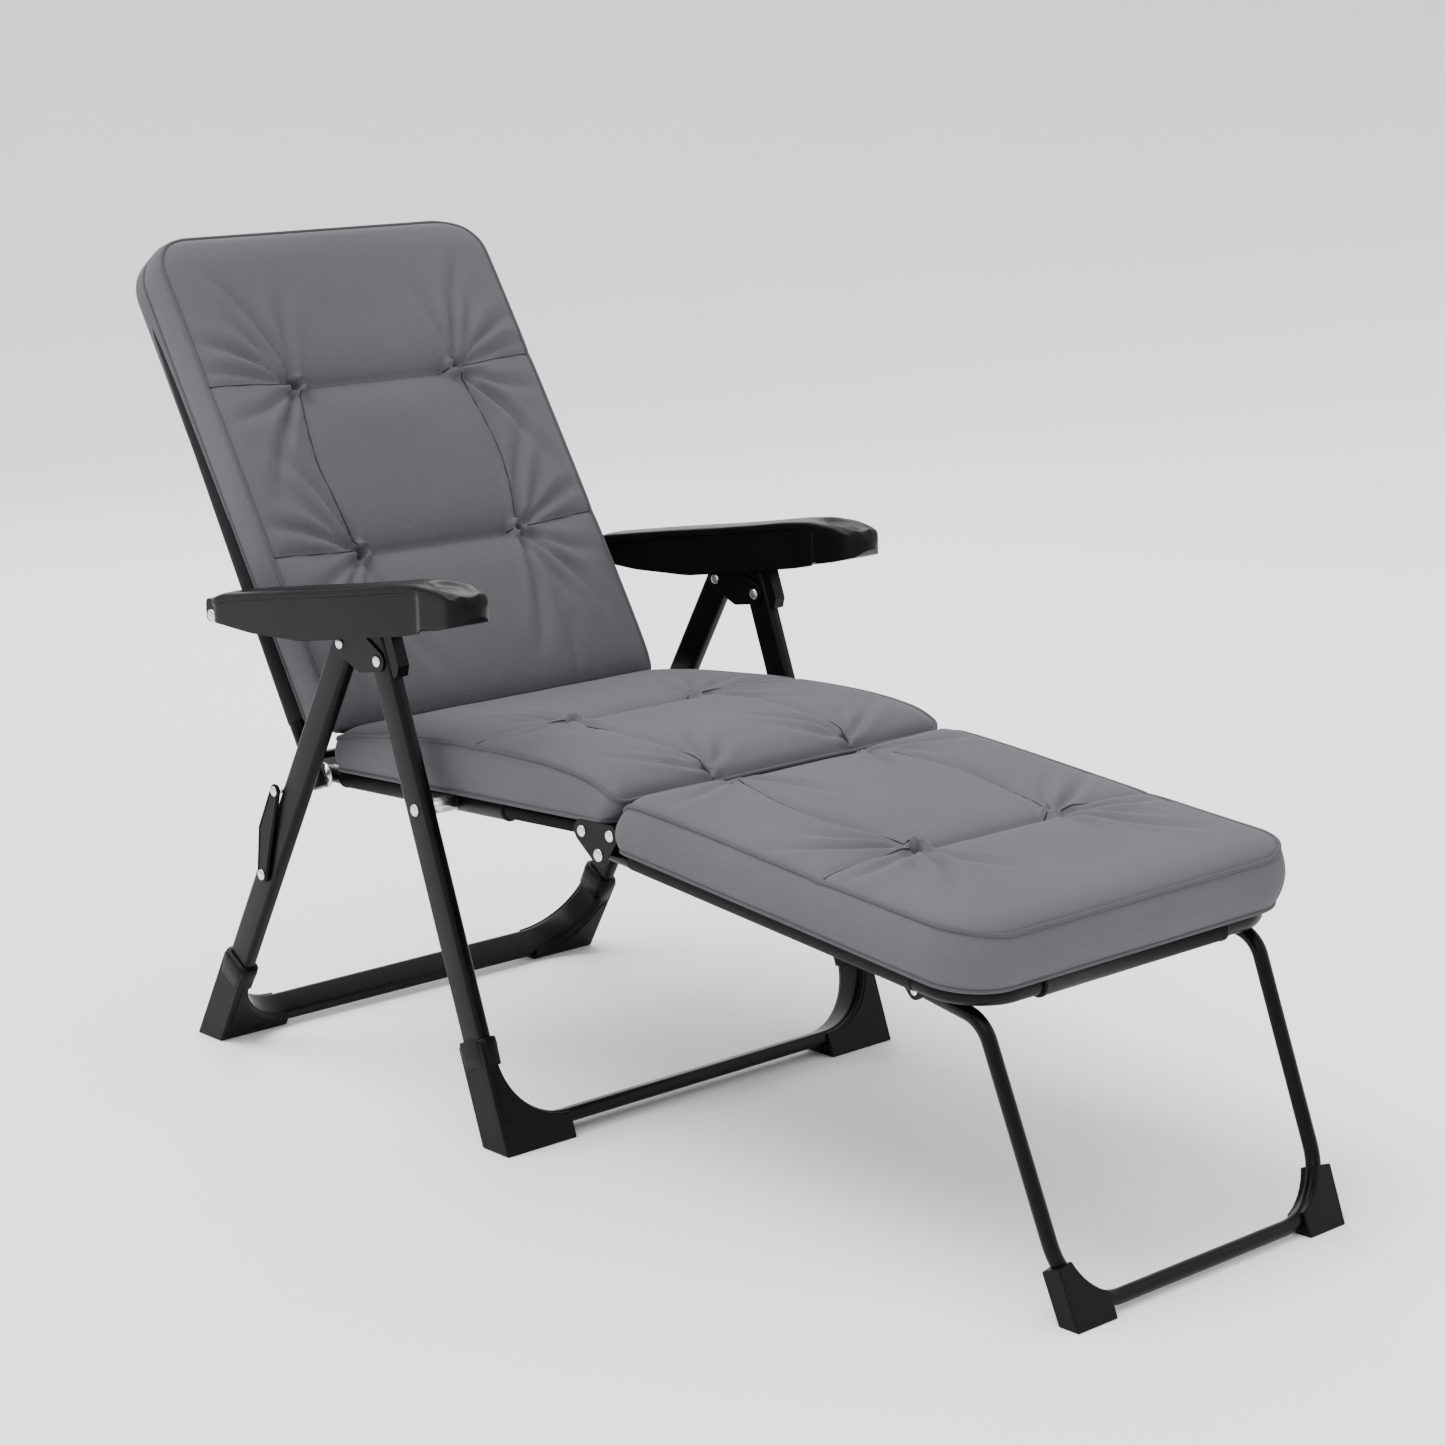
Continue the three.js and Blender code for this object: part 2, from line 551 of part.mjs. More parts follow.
const backCushion = () => cushion([[58, 14], [28, 58], [36, 66], [100, 70], [600, 66], [668, 60], [690, 46],
  [692, 14]], onBack, CUSHION_X, 58);
const backPocket = () => cushion([[330, -15.5], [330, -11], [692, -11], [692, -15.5]], onBack, CUSHION_X, 58);

// a flat sling from one distance to another, its underside and top at the given heights
function sling(place, [start, end], [low, high], halfWidth) {
  const sheet = [[start, low], [start, high], [end, high], [end, low]];
  return sidePlate(outline(sheet.map(place)), -halfWidth, halfWidth);
}

const backSling = () => sling(onBack, [70, 606], [4, 6.5], 217);
const seatSling = () => sling(onSeat, [-48, 330], [5, 7.5], 207);
const restSling = () => sling(onRest, [30, 470], [5, 7.5], 207);
const restCushion = () => cushion([[24, 14], [38, 64], [56, 72], [150, 73], [300, 73], [420, 74], [505, 75],
  [534, 66], [542, 40], [541, 14]], onRest, CUSHION_X, 58);

// ---------------------------------------------------------------- the chair
const finishes = {
  frame: { color: 0x17171a, roughness: 0.38, metalness: 0.5 },
  plastic: { color: 0x1b1b1d, roughness: 0.45, metalness: 0 },
  steel: { color: 0xc9cacc, roughness: 0.3, metalness: 1 },
  fabric: { color: 0x6d6c72, roughness: 0.95, metalness: 0 },
  sling: { color: 0x1f1f22, roughness: 0.9, metalness: 0 },
};

const chair = new THREE.Group();
chair.position.y = -ORIGIN_Y;

function add(name, body, finish) {
  const mesh = new THREE.Mesh(geometryOf(body), new THREE.MeshStandardMaterial(finishes[finish]));
  mesh.name = name;
  chair.add(mesh);
}

add('rear_leg_frame', rearLegFrame(), 'frame');
add('front_leg_frame', frontLegFrame(), 'frame');
add('seat_frame', seatFrame(), 'frame');
add('back_frame', backFrame(), 'frame');
add('leg_rest_frame', restFrame(), 'frame');
add('stand_frame', standFrame(), 'frame');
add('leg_rest_bar_sleeve', toeSleeve(), 'plastic');
add('seat_sling', seatSling(), 'sling');
add('back_sling', backSling(), 'sling');
add('leg_rest_sling', restSling(), 'sling');
add('seat_cushion', seatCushion(), 'fabric');
add('back_cushion', backCushion(), 'fabric');
add('back_cushion_pocket', backPocket(), 'fabric');
add('leg_rest_cushion', restCushion(), 'fabric');

for (const [end, side] of [['right', -1], ['left', 1]]) {
  add(`rear_shoe_${end}`, shoe(rearLegPath, REAR_LEG_DIR, rearBar, side), 'plastic');
  add(`front_shoe_${end}`, shoe(frontLegPath, FRONT_LEG_DIR, frontBar, side), 'plastic');
  add(`stand_foot_${end}`, standFoot(side), 'plastic');
  add(`leg_plate_inner_${end}`, legPlate(side, INNER_PLATE_X), 'frame');
  add(`leg_plate_outer_${end}`, legPlate(side, OUTER_PLATE_X), 'frame');
  add(`front_leg_cap_${end}`, legCap(side), 'plastic');
  add(`rear_leg_pivot_rivet_${end}`, plateRivet(REAR_PIVOT, side), 'steel');
  add(`front_leg_rivet_${end}`, plateRivet(FRONT_RIVET, side), 'steel');
  add(`arm_slide_pin_${end}`, armPin(side), 'steel');
  add(`seat_pivot_rivet_${end}`, seatPivotRivet(side), 'steel');
  add(`back_pivot_pin_${end}`, backPivotPin(side), 'steel');
  add(`arm_pivot_pin_${end}`, armPivotPin(side), 'steel');
  add(`link_top_pin_${end}`, linkTopPin(side), 'steel');
  add(`link_foot_rivet_${end}`, linkFootRivet(side), 'steel');
  add(`knee_pivot_rivet_${end}`, kneePivotRivet(side), 'steel');
  add(`stand_pivot_rivet_${end}`, standPivotRivet(side), 'steel');
  add(`knee_plate_${end}`, kneePlate(side), 'frame');
  add(`stand_hanger_${end}`, standHanger(side), 'frame');
  add(`rear_link_${end}`, link(side), 'plastic');
  add(`armrest_${end}`, armShell(side), 'plastic');
  add(`armrest_clevis_${end}`, armClevis(side), 'plastic');
  add(`armrest_rack_${end}`, armRack(side), 'frame');
  add(`seat_rail_sleeve_${end}`, seatSleeve(side), 'plastic');
}

export default chair;
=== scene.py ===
"""A folding padded lounger: smooth tubes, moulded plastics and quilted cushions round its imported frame."""
import json
import math

import bpy
import bmesh
import numpy as np
from mathutils import Matrix, Vector


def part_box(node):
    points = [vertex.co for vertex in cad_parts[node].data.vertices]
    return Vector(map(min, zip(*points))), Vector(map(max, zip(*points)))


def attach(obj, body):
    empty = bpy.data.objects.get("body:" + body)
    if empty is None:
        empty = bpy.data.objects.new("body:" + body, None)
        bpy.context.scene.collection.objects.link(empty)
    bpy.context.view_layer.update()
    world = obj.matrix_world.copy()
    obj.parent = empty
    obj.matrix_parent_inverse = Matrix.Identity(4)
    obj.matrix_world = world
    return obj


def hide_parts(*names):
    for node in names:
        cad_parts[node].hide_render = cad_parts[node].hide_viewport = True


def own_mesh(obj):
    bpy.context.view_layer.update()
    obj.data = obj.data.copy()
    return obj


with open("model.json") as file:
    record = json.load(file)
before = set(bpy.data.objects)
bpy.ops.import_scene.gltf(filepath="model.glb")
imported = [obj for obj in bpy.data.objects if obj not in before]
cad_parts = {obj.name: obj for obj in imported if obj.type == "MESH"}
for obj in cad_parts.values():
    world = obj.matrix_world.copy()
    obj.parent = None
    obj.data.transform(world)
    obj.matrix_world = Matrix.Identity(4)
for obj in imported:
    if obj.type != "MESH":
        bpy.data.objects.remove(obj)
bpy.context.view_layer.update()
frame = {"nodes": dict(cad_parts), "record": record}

MM = 0.001
SIDES = (("right", -1), ("left", 1))
record = frame["record"]
joints = {j["name"]: j for j in record["behaviour"]["joints"]}


# ---- places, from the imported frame
def side_view(point):
    return Vector((point[1], point[2]))


def pivot(joint):
    return side_view(joints[joint]["pos_m"])


def middle(node):
    low, high = (Vector(corner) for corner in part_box(node))
    return side_view((low + high) / 2)


REAR_PIVOT = pivot("fold")
SEAT_PIVOT = pivot("seat_fold")
BACK_PIVOT = pivot("recline")
ARM_PIVOT = pivot("arm_fold_right")
KNEE_PIVOT = pivot("leg_rest_fold")
STAND_PIVOT = pivot("stand_fold")
LINK_FOOT = pivot("link_fold_right")
FRONT_RIVET = middle("front_leg_rivet_right")
LINK_TOP = middle("link_top_pin_right")
ARM_PIN = middle("arm_slide_pin_right")
REST_TOE = middle("leg_rest_bar_sleeve")


def unit(start, end):
    return (end - start).normalized()


def turned(direction):
    """The direction a quarter turn to the left."""
    return Vector((-direction.y, direction.x))


FRONT_DIR = unit(SEAT_PIVOT, FRONT_RIVET)
REAR_DIR = unit(LINK_FOOT, REAR_PIVOT)
SEAT_DIR = unit(BACK_PIVOT, SEAT_PIVOT)
BACK_DIR = unit(BACK_PIVOT, ARM_PIVOT)
REST_DIR = unit(KNEE_PIVOT, REST_TOE)

LEG_X = 280 * MM
LEG_BEND = 85 * MM
LEG_HALF_WIDE = 19 * MM
LEG_HALF_THICK = 8 * MM
RAIL_R = 10 * MM
BELOW_FLOOR = 40 * MM  # how far a shoe's outline runs on before it is cut at the floor
SEAT_X = 222 * MM
BACK_X = 245 * MM
BACK_TOP_X = 229 * MM
BACK_LENGTH = 668 * MM
FRONT_BAR_Z = 17 * MM
REAR_BAR_Z = 20 * MM
PLATE = 2.4 * MM
PLATE_INNER_X = 269.3 * MM
PLATE_OUTER_X = 288.3 * MM
KNEE_PLATE_X = 241 * MM
LINK_X = 289.2 * MM
LINK_THICK = 4 * MM
PIN_R = 4 * MM
WASHER_R = 14.8 * MM
SPACER_R = 12.8 * MM
GAP = 0.3 * MM
ARM_X = 288 * MM


def space(x, point):
    return Vector((x, point.x, point.y))


# ---- materials
def material(name, color, roughness, metallic=0.0, **sockets):
    mat = bpy.data.materials.new(name)
    mat.use_nodes = True
    shader = mat.node_tree.nodes["Principled BSDF"]
    shader.inputs["Base Color"].default_value = (*color, 1)
    shader.inputs["Roughness"].default_value = roughness
    shader.inputs["Metallic"].default_value = metallic
    for socket, value in sockets.items():
        shader.inputs[socket.replace("_", " ")].default_value = value
    return mat, mat.node_tree, shader


def node(tree, kind, **settings):
    made = tree.nodes.new(kind)
    for key, value in settings.items():
        if key in made.inputs:
            made.inputs[key].default_value = value
        else:
            setattr(made, key, value)
    return made


def noise_of(tree, coordinates, scale, detail=3.0):
    made = node(tree, "ShaderNodeTexNoise", Scale=scale, Detail=detail)
    tree.links.new(coordinates, made.inputs["Vector"])
    return made.outputs["Fac"]


def spread(tree, value, low, high, start=0.3, end=0.7):
    """A value mapped from one range to another."""
    made = tree.nodes.new("ShaderNodeMapRange")
    for socket, number in zip(("From Min", "From Max", "To Min", "To Max"), (start, end, low, high)):
        made.inputs[socket].default_value = number
    tree.links.new(value, made.inputs["Value"])
    return made.outputs["Result"]


def tint(tree, factor, dark, light, socket):
    ramp = tree.nodes.new("ShaderNodeValToRGB")
    ramp.color_ramp.elements[0].color = (*dark, 1)
    ramp.color_ramp.elements[1].color = (*light, 1)
    tree.links.new(factor, ramp.inputs["Fac"])
    tree.links.new(ramp.outputs["Color"], socket)


def math_node(tree, operation, first, second):
    made = node(tree, "ShaderNodeMath", operation=operation)
    for socket, value in zip(made.inputs, (first, second)):
        if isinstance(value, (int, float)):
            socket.default_value = value
        else:
            tree.links.new(value, socket)
    return made.outputs["Value"]


def bump(tree, height, shader, strength, distance):
    made = node(tree, "ShaderNodeBump", Strength=strength, Distance=distance)
    tree.links.new(height, made.inputs["Height"])
    tree.links.new(made.outputs["Normal"], shader.inputs["Normal"])


def weave_height(tree, coordinates, pitch):
    """Threads over and under each other: two sets of waves across the cloth."""
    parts = []
    for direction in ("X", "Y"):
        wave = node(tree, "ShaderNodeTexWave", Scale=1 / pitch / 3.2, Distortion=0.6, Detail=1.0)
        wave.bands_direction = direction
        tree.links.new(coordinates, wave.inputs["Vector"])
        parts.append(wave.outputs["Fac"])
    return math_node(tree, "MULTIPLY", *parts)


def fabric(name, dark, light, pitch, sheen):
    mat, tree, shader = material(name, light, 0.86, Sheen_Weight=sheen, Sheen_Roughness=0.45,
                                 Specular_IOR_Level=0.25)
    coordinates = tree.nodes.new("ShaderNodeTexCoord").outputs["Object"]
    weave = weave_height(tree, coordinates, pitch)
    mottle = noise_of(tree, coordinates, 650.0, 2.0)
    cloud = noise_of(tree, coordinates, 5.0, 2.0)
    both = math_node(tree, "ADD", spread(tree, mottle, 0.0, 0.55), spread(tree, cloud, 0.1, 0.45))
    tint(tree, both, dark, light, shader.inputs["Base Color"])
    tree.links.new(spread(tree, mottle, 0.8, 0.95), shader.inputs["Roughness"])
    height = math_node(tree, "ADD", weave, math_node(tree, "MULTIPLY", mottle, 0.6))
    bump(tree, height, shader, 0.35, 0.0005)
    return mat


def coating(name, dark, light, roughness, specular, patch_scale, grain, relief):
    """A black finish in cloudy patches, with grain of (scale, detail) and relief of (strength, distance)."""
    mat, tree, shader = material(name, light, roughness[0], Specular_IOR_Level=specular)
    coordinates = tree.nodes.new("ShaderNodeTexCoord").outputs["Object"]
    patches = noise_of(tree, coordinates, patch_scale)
    tint(tree, patches, dark, light, shader.inputs["Base Color"])
    tree.links.new(spread(tree, patches, *roughness), shader.inputs["Roughness"])
    bump(tree, noise_of(tree, coordinates, *grain), shader, *relief)
    return mat


def moulded_plastic(name, tone, roughness):
    dark = tuple(0.75 * c for c in tone)
    rough = (roughness - 0.05, roughness + 0.06)
    return coating(name, dark, tone, rough, 0.1, 22.0, (1600.0, 3.0), (0.2, 0.0003))


def bright_steel():
    mat, tree, shader = material("bright_steel", (0.72, 0.72, 0.73), 0.25, metallic=1.0)
    coordinates = tree.nodes.new("ShaderNodeTexCoord").outputs["Object"]
    scratches = noise_of(tree, coordinates, 700.0, 4.0)
    tint(tree, scratches, (0.55, 0.55, 0.56), (0.8, 0.8, 0.81), shader.inputs["Base Color"])
    tree.links.new(spread(tree, scratches, 0.2, 0.36), shader.inputs["Roughness"])
    return mat


CLOTH = fabric("cushion_cloth", (0.064, 0.063, 0.071), (0.092, 0.090, 0.101), 1.1 * MM, 0.04)
PIPING = fabric("piping_cloth", (0.050, 0.049, 0.056), (0.074, 0.072, 0.081), 0.9 * MM, 0.03)
# near-black cords laid along the cushion seams: painted seam shadow
SEAM_SHADOW_CORD = fabric("seam_shadow", (0.018, 0.018, 0.021), (0.028, 0.028, 0.032), 0.8 * MM, 0.0)
MESH = fabric("sling_mesh", (0.004, 0.004, 0.005), (0.009, 0.009, 0.010), 2.2 * MM, 0.03)
FRAME = coating("powder_coat", (0.001, 0.001, 0.0012), (0.0022, 0.0022, 0.0024), (0.26, 0.38), 0.12, 14.0,
                (900.0, 2.0), (0.12, 0.0004))
ARM_PLASTIC = moulded_plastic("arm_plastic", (0.0024, 0.0024, 0.0027), 0.33)
SHOE_PLASTIC = moulded_plastic("shoe_plastic", (0.003, 0.003, 0.0033), 0.42)
STEEL = bright_steel()


# ---- mesh helpers
def mesh_object(name, points, faces, mat, bevel=0.0, bevel_segments=2):
    mesh = bpy.data.meshes.new(name)
    mesh.from_pydata([tuple(p) for p in points], [], faces)
    mesh.materials.append(mat)
    tidy = bmesh.new()
    tidy.from_mesh(mesh)
    bmesh.ops.remove_doubles(tidy, verts=tidy.verts, dist=1e-6)
    bmesh.ops.recalc_face_normals(tidy, faces=tidy.faces)
    tidy.to_mesh(mesh)
    tidy.free()
    mesh.shade_smooth()
    obj = bpy.data.objects.new(name, mesh)
    bpy.context.scene.collection.objects.link(obj)
    if bevel:
        edge = obj.modifiers.new("edges", "BEVEL")
        edge.width = bevel
        edge.segments = bevel_segments
        edge.limit_method = "ANGLE"
        edge.angle_limit = math.radians(32)
        edge.harden_normals = True
    return obj


def place(obj, body, slot, *nodes):
    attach(obj, body)
    if nodes:
        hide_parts(*nodes)
    return obj


def loft(rings, closed_ends=True, closed_loop=False):
    """Faces between rings of equal length, and the points of all of them."""
    count = len(rings[0])
    points = [p for ring in rings for p in ring]
    faces = []
    last = len(rings) if closed_loop else len(rings) - 1
    for i in range(last):
        a, b = i * count, ((i + 1) % len(rings)) * count
        for k in range(count):
            n = (k + 1) % count
            faces.append((a + k, a + n, b + n, b + k))
    if closed_ends and not closed_loop:
        faces.append(tuple(reversed(range(count))))
        faces.append(tuple(range(len(points) - count, len(points))))
    return points, faces


def bent_path(corners, radius, step=math.radians(5)):
    """Stations (point, heading) along straights joined by round bends."""
    corners = [Vector(c) for c in corners]
    radii = radius if isinstance(radius, (list, tuple)) else [radius] * (len(corners) - 2)
    stations = [(corners[0], (corners[1] - corners[0]).normalized())]
    for i, r in enumerate(radii, start=1):
        before = (corners[i] - corners[i - 1]).normalized()
        after = (corners[i + 1] - corners[i]).normalized()
        turn = before.angle(after)
        start = corners[i] - before * (r * math.tan(turn / 2))
        inward = (after - before * math.cos(turn)).normalized()
        centre = start + inward * r
        steps = max(2, math.ceil(turn / step))
        for k in range(steps + 1):
            a = turn * k / steps
            point = centre - inward * (r * math.cos(a)) + before * (r * math.sin(a))
            stations.append((point, before * math.cos(a) + inward * math.sin(a)))
    stations.append((corners[-1], (corners[-1] - corners[-2]).normalized()))
    return stations


def swept_rings(stations, section, normal, scale=lambda point: 1.0):
    """The section (across, along the normal), carried along the stations without twist."""
    rings = []
    heading = stations[0][1]
    normal = (normal - heading * normal.dot(heading)).normalized()
    for point, tangent in stations:
        normal = heading.rotation_difference(tangent) @ normal
        heading = tangent
        across = heading.cross(normal)
        shrink = scale(point)
        rings.append([point + across * a + normal * (b * shrink) for a, b in section])
    return rings


def round_section(radius, sides=28):
    turns = [2 * math.pi * k / sides for k in range(sides)]
    return [(radius * math.cos(a), radius * math.sin(a)) for a in turns]


def oval_section(grow=0.0, corner=5.5 * MM, steps=6):
    """The leg tube's rounded rectangle."""
    a, b = LEG_HALF_THICK + grow, LEG_HALF_WIDE + grow
    corner += grow
    section = []
    for quarter, (sx, sy) in enumerate(((1, 1), (-1, 1), (-1, -1), (1, -1))):
        for k in range(steps + 1):
            angle = math.pi / 2 * (quarter + k / steps)
            x = sx * (a - corner) + corner * math.cos(angle)
            y = sy * (b - corner) + corner * math.sin(angle)
            section.append((x, y))
    return section


def tube(name, stations, section, normal, mat, scale=lambda point: 1.0):
    return mesh_object(name, *loft(swept_rings(stations, section, normal, scale)), mat)


def mirrored(corners):
    """A run and its mirror image, from right to left."""
    return [(-x, y, z) for x, y, z in corners] + list(reversed(corners))


def hull_outline(circles, step=math.radians(10)):
    """Points round circles (centre, radius) that are given anticlockwise."""
    turns = []
    for i, (centre, radius) in enumerate(circles):
        other, other_radius = circles[(i + 1) % len(circles)]
        reach = other - centre
        turns.append(math.atan2(reach.y, reach.x) - math.acos((radius - other_radius) / reach.length))
    points = []
    for i, (centre, radius) in enumerate(circles):
        start, end = turns[i - 1], turns[i]
        while end < start:
            end += 2 * math.pi
        steps = max(1, math.ceil((end - start) / step))
        for k in range(steps + 1):
            a = start + (end - start) * k / steps
            points.append(centre + Vector((math.cos(a), math.sin(a))) * radius)
    return points


def prism(name, outline, x0, x1, mat, bevel=0.6 * MM, segments=2):
    rings = [[space(x, p) for p in outline] for x in (x0, x1)]
    return mesh_object(name, *loft(rings), mat, bevel, segments)


def lathe(name, at, side, profile, mat, sides=36):
    """A profile of (|x|, radius), turned about an axis across the chair."""
    rings = []
    for x, radius in profile:
        section = round_section(max(radius, 1e-5), sides)
        rings.append([space(side * x, at + Vector(offset)) for offset in section])
    return mesh_object(name, *loft(rings), mat)


def dome(x, radius, height, outward=1, steps=7):
    """A rivet's head from its rim to its crown, as (|x|, radius)."""
    profile = [(x, radius), (x + outward * 0.22 * height, radius)]
    for k in range(1, steps + 1):
        a = math.pi / 2 * k / steps
        profile.append((x + outward * height * (0.22 + 0.78 * math.sin(a)), radius * math.cos(a)))
    return profile


def rivet(name, at, side, steps, head=7.5 * MM, height=3 * MM, inner_head=None):
    """A rivet across the chair, with steps (|x|, radius) of its shaft from inside to outside."""
    inner = dome(steps[0][0], inner_head or head, height, -1)
    shaft = []
    for i, (x, radius) in enumerate(steps):
        if i > 0:
            shaft.append((x, steps[i - 1][1]))
        shaft.append((x, radius))
    profile = list(reversed(inner)) + shaft + dome(steps[-1][0], head, height)
    return lathe(name, at, side, profile, STEEL)


# ---- leg frames
def bar_foot(point, direction, height):
    return point + direction * ((height - point.y) / direction.y)


FRONT_FOOT = bar_foot(FRONT_RIVET, FRONT_DIR, FRONT_BAR_Z)
REAR_FOOT = bar_foot(REAR_PIVOT, REAR_DIR, REAR_BAR_Z)


def leg_frame(name, top_centre, direction, foot, body):
    """A leg frame with rounded ends, bent from one oval tube."""
    reach = LEG_HALF_WIDE - 0.2 * MM
    ends = [top_centre + direction * (reach * math.sin(math.radians(a))) for a in range(90, -1, -10)]
    corners = mirrored([(LEG_X, *top_centre), (LEG_X, *foot)])
    stations = bent_path(corners, LEG_BEND)
    down = space(0, -direction)
    first = [(space(-LEG_X, p), down) for p in ends[:-1]]
    last = [(space(LEG_X, p), -down) for p in reversed(ends[:-1])]

    def width(point):
        beyond = (Vector((point.y, point.z)) - top_centre).dot(direction)
        return math.sqrt(max(0.0025, 1 - (max(0.0, beyond) / reach) ** 2))

    run = first + stations + last
    obj = tube(name, run, oval_section(), space(0, turned(direction)), FRAME, width)
    return place(obj, body, "frame", name.replace("_tube", "_frame"))


leg_frame("front_leg_tube", FRONT_RIVET + FRONT_DIR * (18 * MM), FRONT_DIR, FRONT_FOOT, "front_leg")
leg_frame("rear_leg_tube", REAR_PIVOT, REAR_DIR, REAR_FOOT, "rear_leg")


def standing_block(name, rings, bevel):
    """A moulded block through rings of points, cut flat at the floor."""
    points, faces = loft(rings)
    mesh = bpy.data.meshes.new(name)
    mesh.from_pydata([tuple(p) for p in points], [], faces)
    cut = bmesh.new()
    cut.from_mesh(mesh)
    everything = cut.verts[:] + cut.edges[:] + cut.faces[:]
    bmesh.ops.bisect_plane(cut, geom=everything, plane_co=(0, 0, 0), plane_no=(0, 0, -1), clear_outer=True)
    bmesh.ops.holes_fill(cut, edges=[e for e in cut.edges if e.is_boundary])
    solid_points = [v.co.copy() for v in cut.verts]
    solid_faces = [[v.index for v in f.verts] for f in cut.faces]
    cut.free()
    bpy.data.meshes.remove(mesh)
    return mesh_object(name, solid_points, solid_faces, SHOE_PLASTIC, bevel, 3)


def shoe(name, side, foot, direction, body):
    """A moulded shoe with a boot round the tube and a web that follows the bend's inside."""
    outer, top = LEG_X + LEG_HALF_THICK + 4 * MM, 104 * MM
    bend_x, inner = LEG_X - LEG_BEND, LEG_BEND - LEG_HALF_THICK + 3 * MM
    out = turned(direction)

    def web(reach, first, last):
        turns = [-math.radians(5 * k) for k in range(first, last)]
        return [(bend_x + reach * math.cos(a), LEG_BEND + reach * math.sin(a)) for a in turns]

    def block(start, end, shape):
        rings = []
        for depth in (start, end):
            line = foot + out * depth
            rings.append([space(side * x, line + direction * up) for x, up in shape])
        return rings

    outline = [(outer, top), (bend_x + inner, top), (bend_x + inner, LEG_BEND)] + web(inner, 1, 19)
    outline += [(bend_x, -BELOW_FLOOR), (outer, -BELOW_FLOOR)]

    half = LEG_HALF_WIDE + 3.4 * MM
    obj = standing_block(name, block(-half, half, outline), 2.2 * MM)
    place(obj, body, "plastic", name.replace("_moulding", ""))

    collar_run = [foot + direction * (up * MM) for up in (76, 92, 99, 106, 108)]
    rings = []
    for point, grow in zip(collar_run, (4.6, 5.0, 5.6, 5.2, 3.8)):
        rings.append([space(side * LEG_X + a, point + out * b) for a, b in oval_section(grow * MM)])
    collar = mesh_object(f"{name}_collar", *loft(rings), SHOE_PLASTIC)
    place(collar, body, "plastic")

    # a raised, tapering rib on each flat side, along the web
    for face in (-1, 1):
        rib = [(outer - 7 * MM, 70 * MM), (bend_x + inner + 5 * MM, 66 * MM)] + web(inner + 5 * MM, 4, 15)
        rib += [(outer - 7 * MM, 12 * MM)]
        rings = block(face * (LEG_HALF_WIDE + 3.0 * MM), face * (LEG_HALF_WIDE + 4.4 * MM), rib)
        label = "front" if face > 0 else "back"
        panel = mesh_object(f"{name}_rib_{label}", *loft(rings), SHOE_PLASTIC, 0.7 * MM)
        place(panel, body, "plastic")


for end, side in SIDES:
    shoe(f"front_shoe_{end}_moulding", side, FRONT_FOOT, FRONT_DIR, "front_leg")
    shoe(f"rear_shoe_{end}_moulding", side, REAR_FOOT, REAR_DIR, "rear_leg")

# ---- seat, leg rest, back and stand tubes
seat_front = SEAT_PIVOT + SEAT_DIR * (274 * MM)
seat_rear = BACK_PIVOT - SEAT_DIR * (88 * MM)
seat_run = bent_path(mirrored([(SEAT_X, *seat_front), (SEAT_X, *seat_rear)]), 38 * MM)
place(tube("seat_tube", seat_run, round_section(RAIL_R), space(0, turned(SEAT_DIR)), FRAME),
      "seat", "frame", "seat_frame")

rest_tail = KNEE_PIVOT - REST_DIR * (5 * MM)
rest_run = bent_path(mirrored([(SEAT_X, *rest_tail), (SEAT_X, *REST_TOE)]), 55 * MM)
place(tube("leg_rest_tube", rest_run, round_section(RAIL_R), space(0, turned(REST_DIR)), FRAME),
      "leg_rest", "frame", "leg_rest_frame")


def rail_x(distance):
    return BACK_X + (BACK_TOP_X - BACK_X) * distance / BACK_LENGTH


back_corners = [(rail_x(s), *(BACK_PIVOT + BACK_DIR * s)) for s in (-13 * MM, BACK_LENGTH)]
back_run = bent_path(mirrored(back_corners), 58 * MM)
place(tube("back_tube", back_run, round_section(RAIL_R), space(0, turned(BACK_DIR)), FRAME),
      "back", "frame", "back_frame")

STAND_R = 8 * MM
STAND_X = 200 * MM
STAND_FOOT_X = 192 * MM
STAND_BENDS = [38 * MM, 72 * MM, 72 * MM, 38 * MM]
stand_start = STAND_PIVOT + Vector((18, 3.1)) * MM
stand_knee = STAND_PIVOT + Vector((-81, -14)) * MM
stand_bar = Vector((STAND_PIVOT.x - 186 * MM, 12 * MM))
stand_corners = mirrored([(STAND_X, *stand_start), (STAND_X, *stand_knee), (STAND_FOOT_X, *stand_bar)])
stand_run = bent_path(stand_corners, STAND_BENDS)
place(tube("stand_tube", stand_run, round_section(STAND_R), Vector((1, 0, 0.001)), FRAME),
      "stand", "frame", "stand_frame")


def stand_foot(name, side):
    """A wedge foot on the stand's bottom bend."""
    up = unit(stand_bar, stand_knee)
    out = turned(up)
    bend, inner = 72 * MM, 67 * MM
    centre_x = STAND_FOOT_X - bend
    outline = [(STAND_FOOT_X + STAND_R + 3 * MM, 46 * MM)]
    for k in range(9):
        a = -0.35 - 0.85 * k / 8
        outline.append((centre_x + inner * math.cos(a), bend + inner * math.sin(a)))
    outline += [(centre_x + 24 * MM, -BELOW_FLOOR), (STAND_FOOT_X + 7 * MM, -BELOW_FLOOR)]
    rings = []
    for depth in (-12 * MM, 12 * MM):
        line = stand_bar + out * depth
        rings.append([space(side * x, line + up * height) for x, height in outline])
    obj = standing_block(name, rings, 1.6 * MM)
    place(obj, "stand", "plastic", name.replace("_wedge", ""))


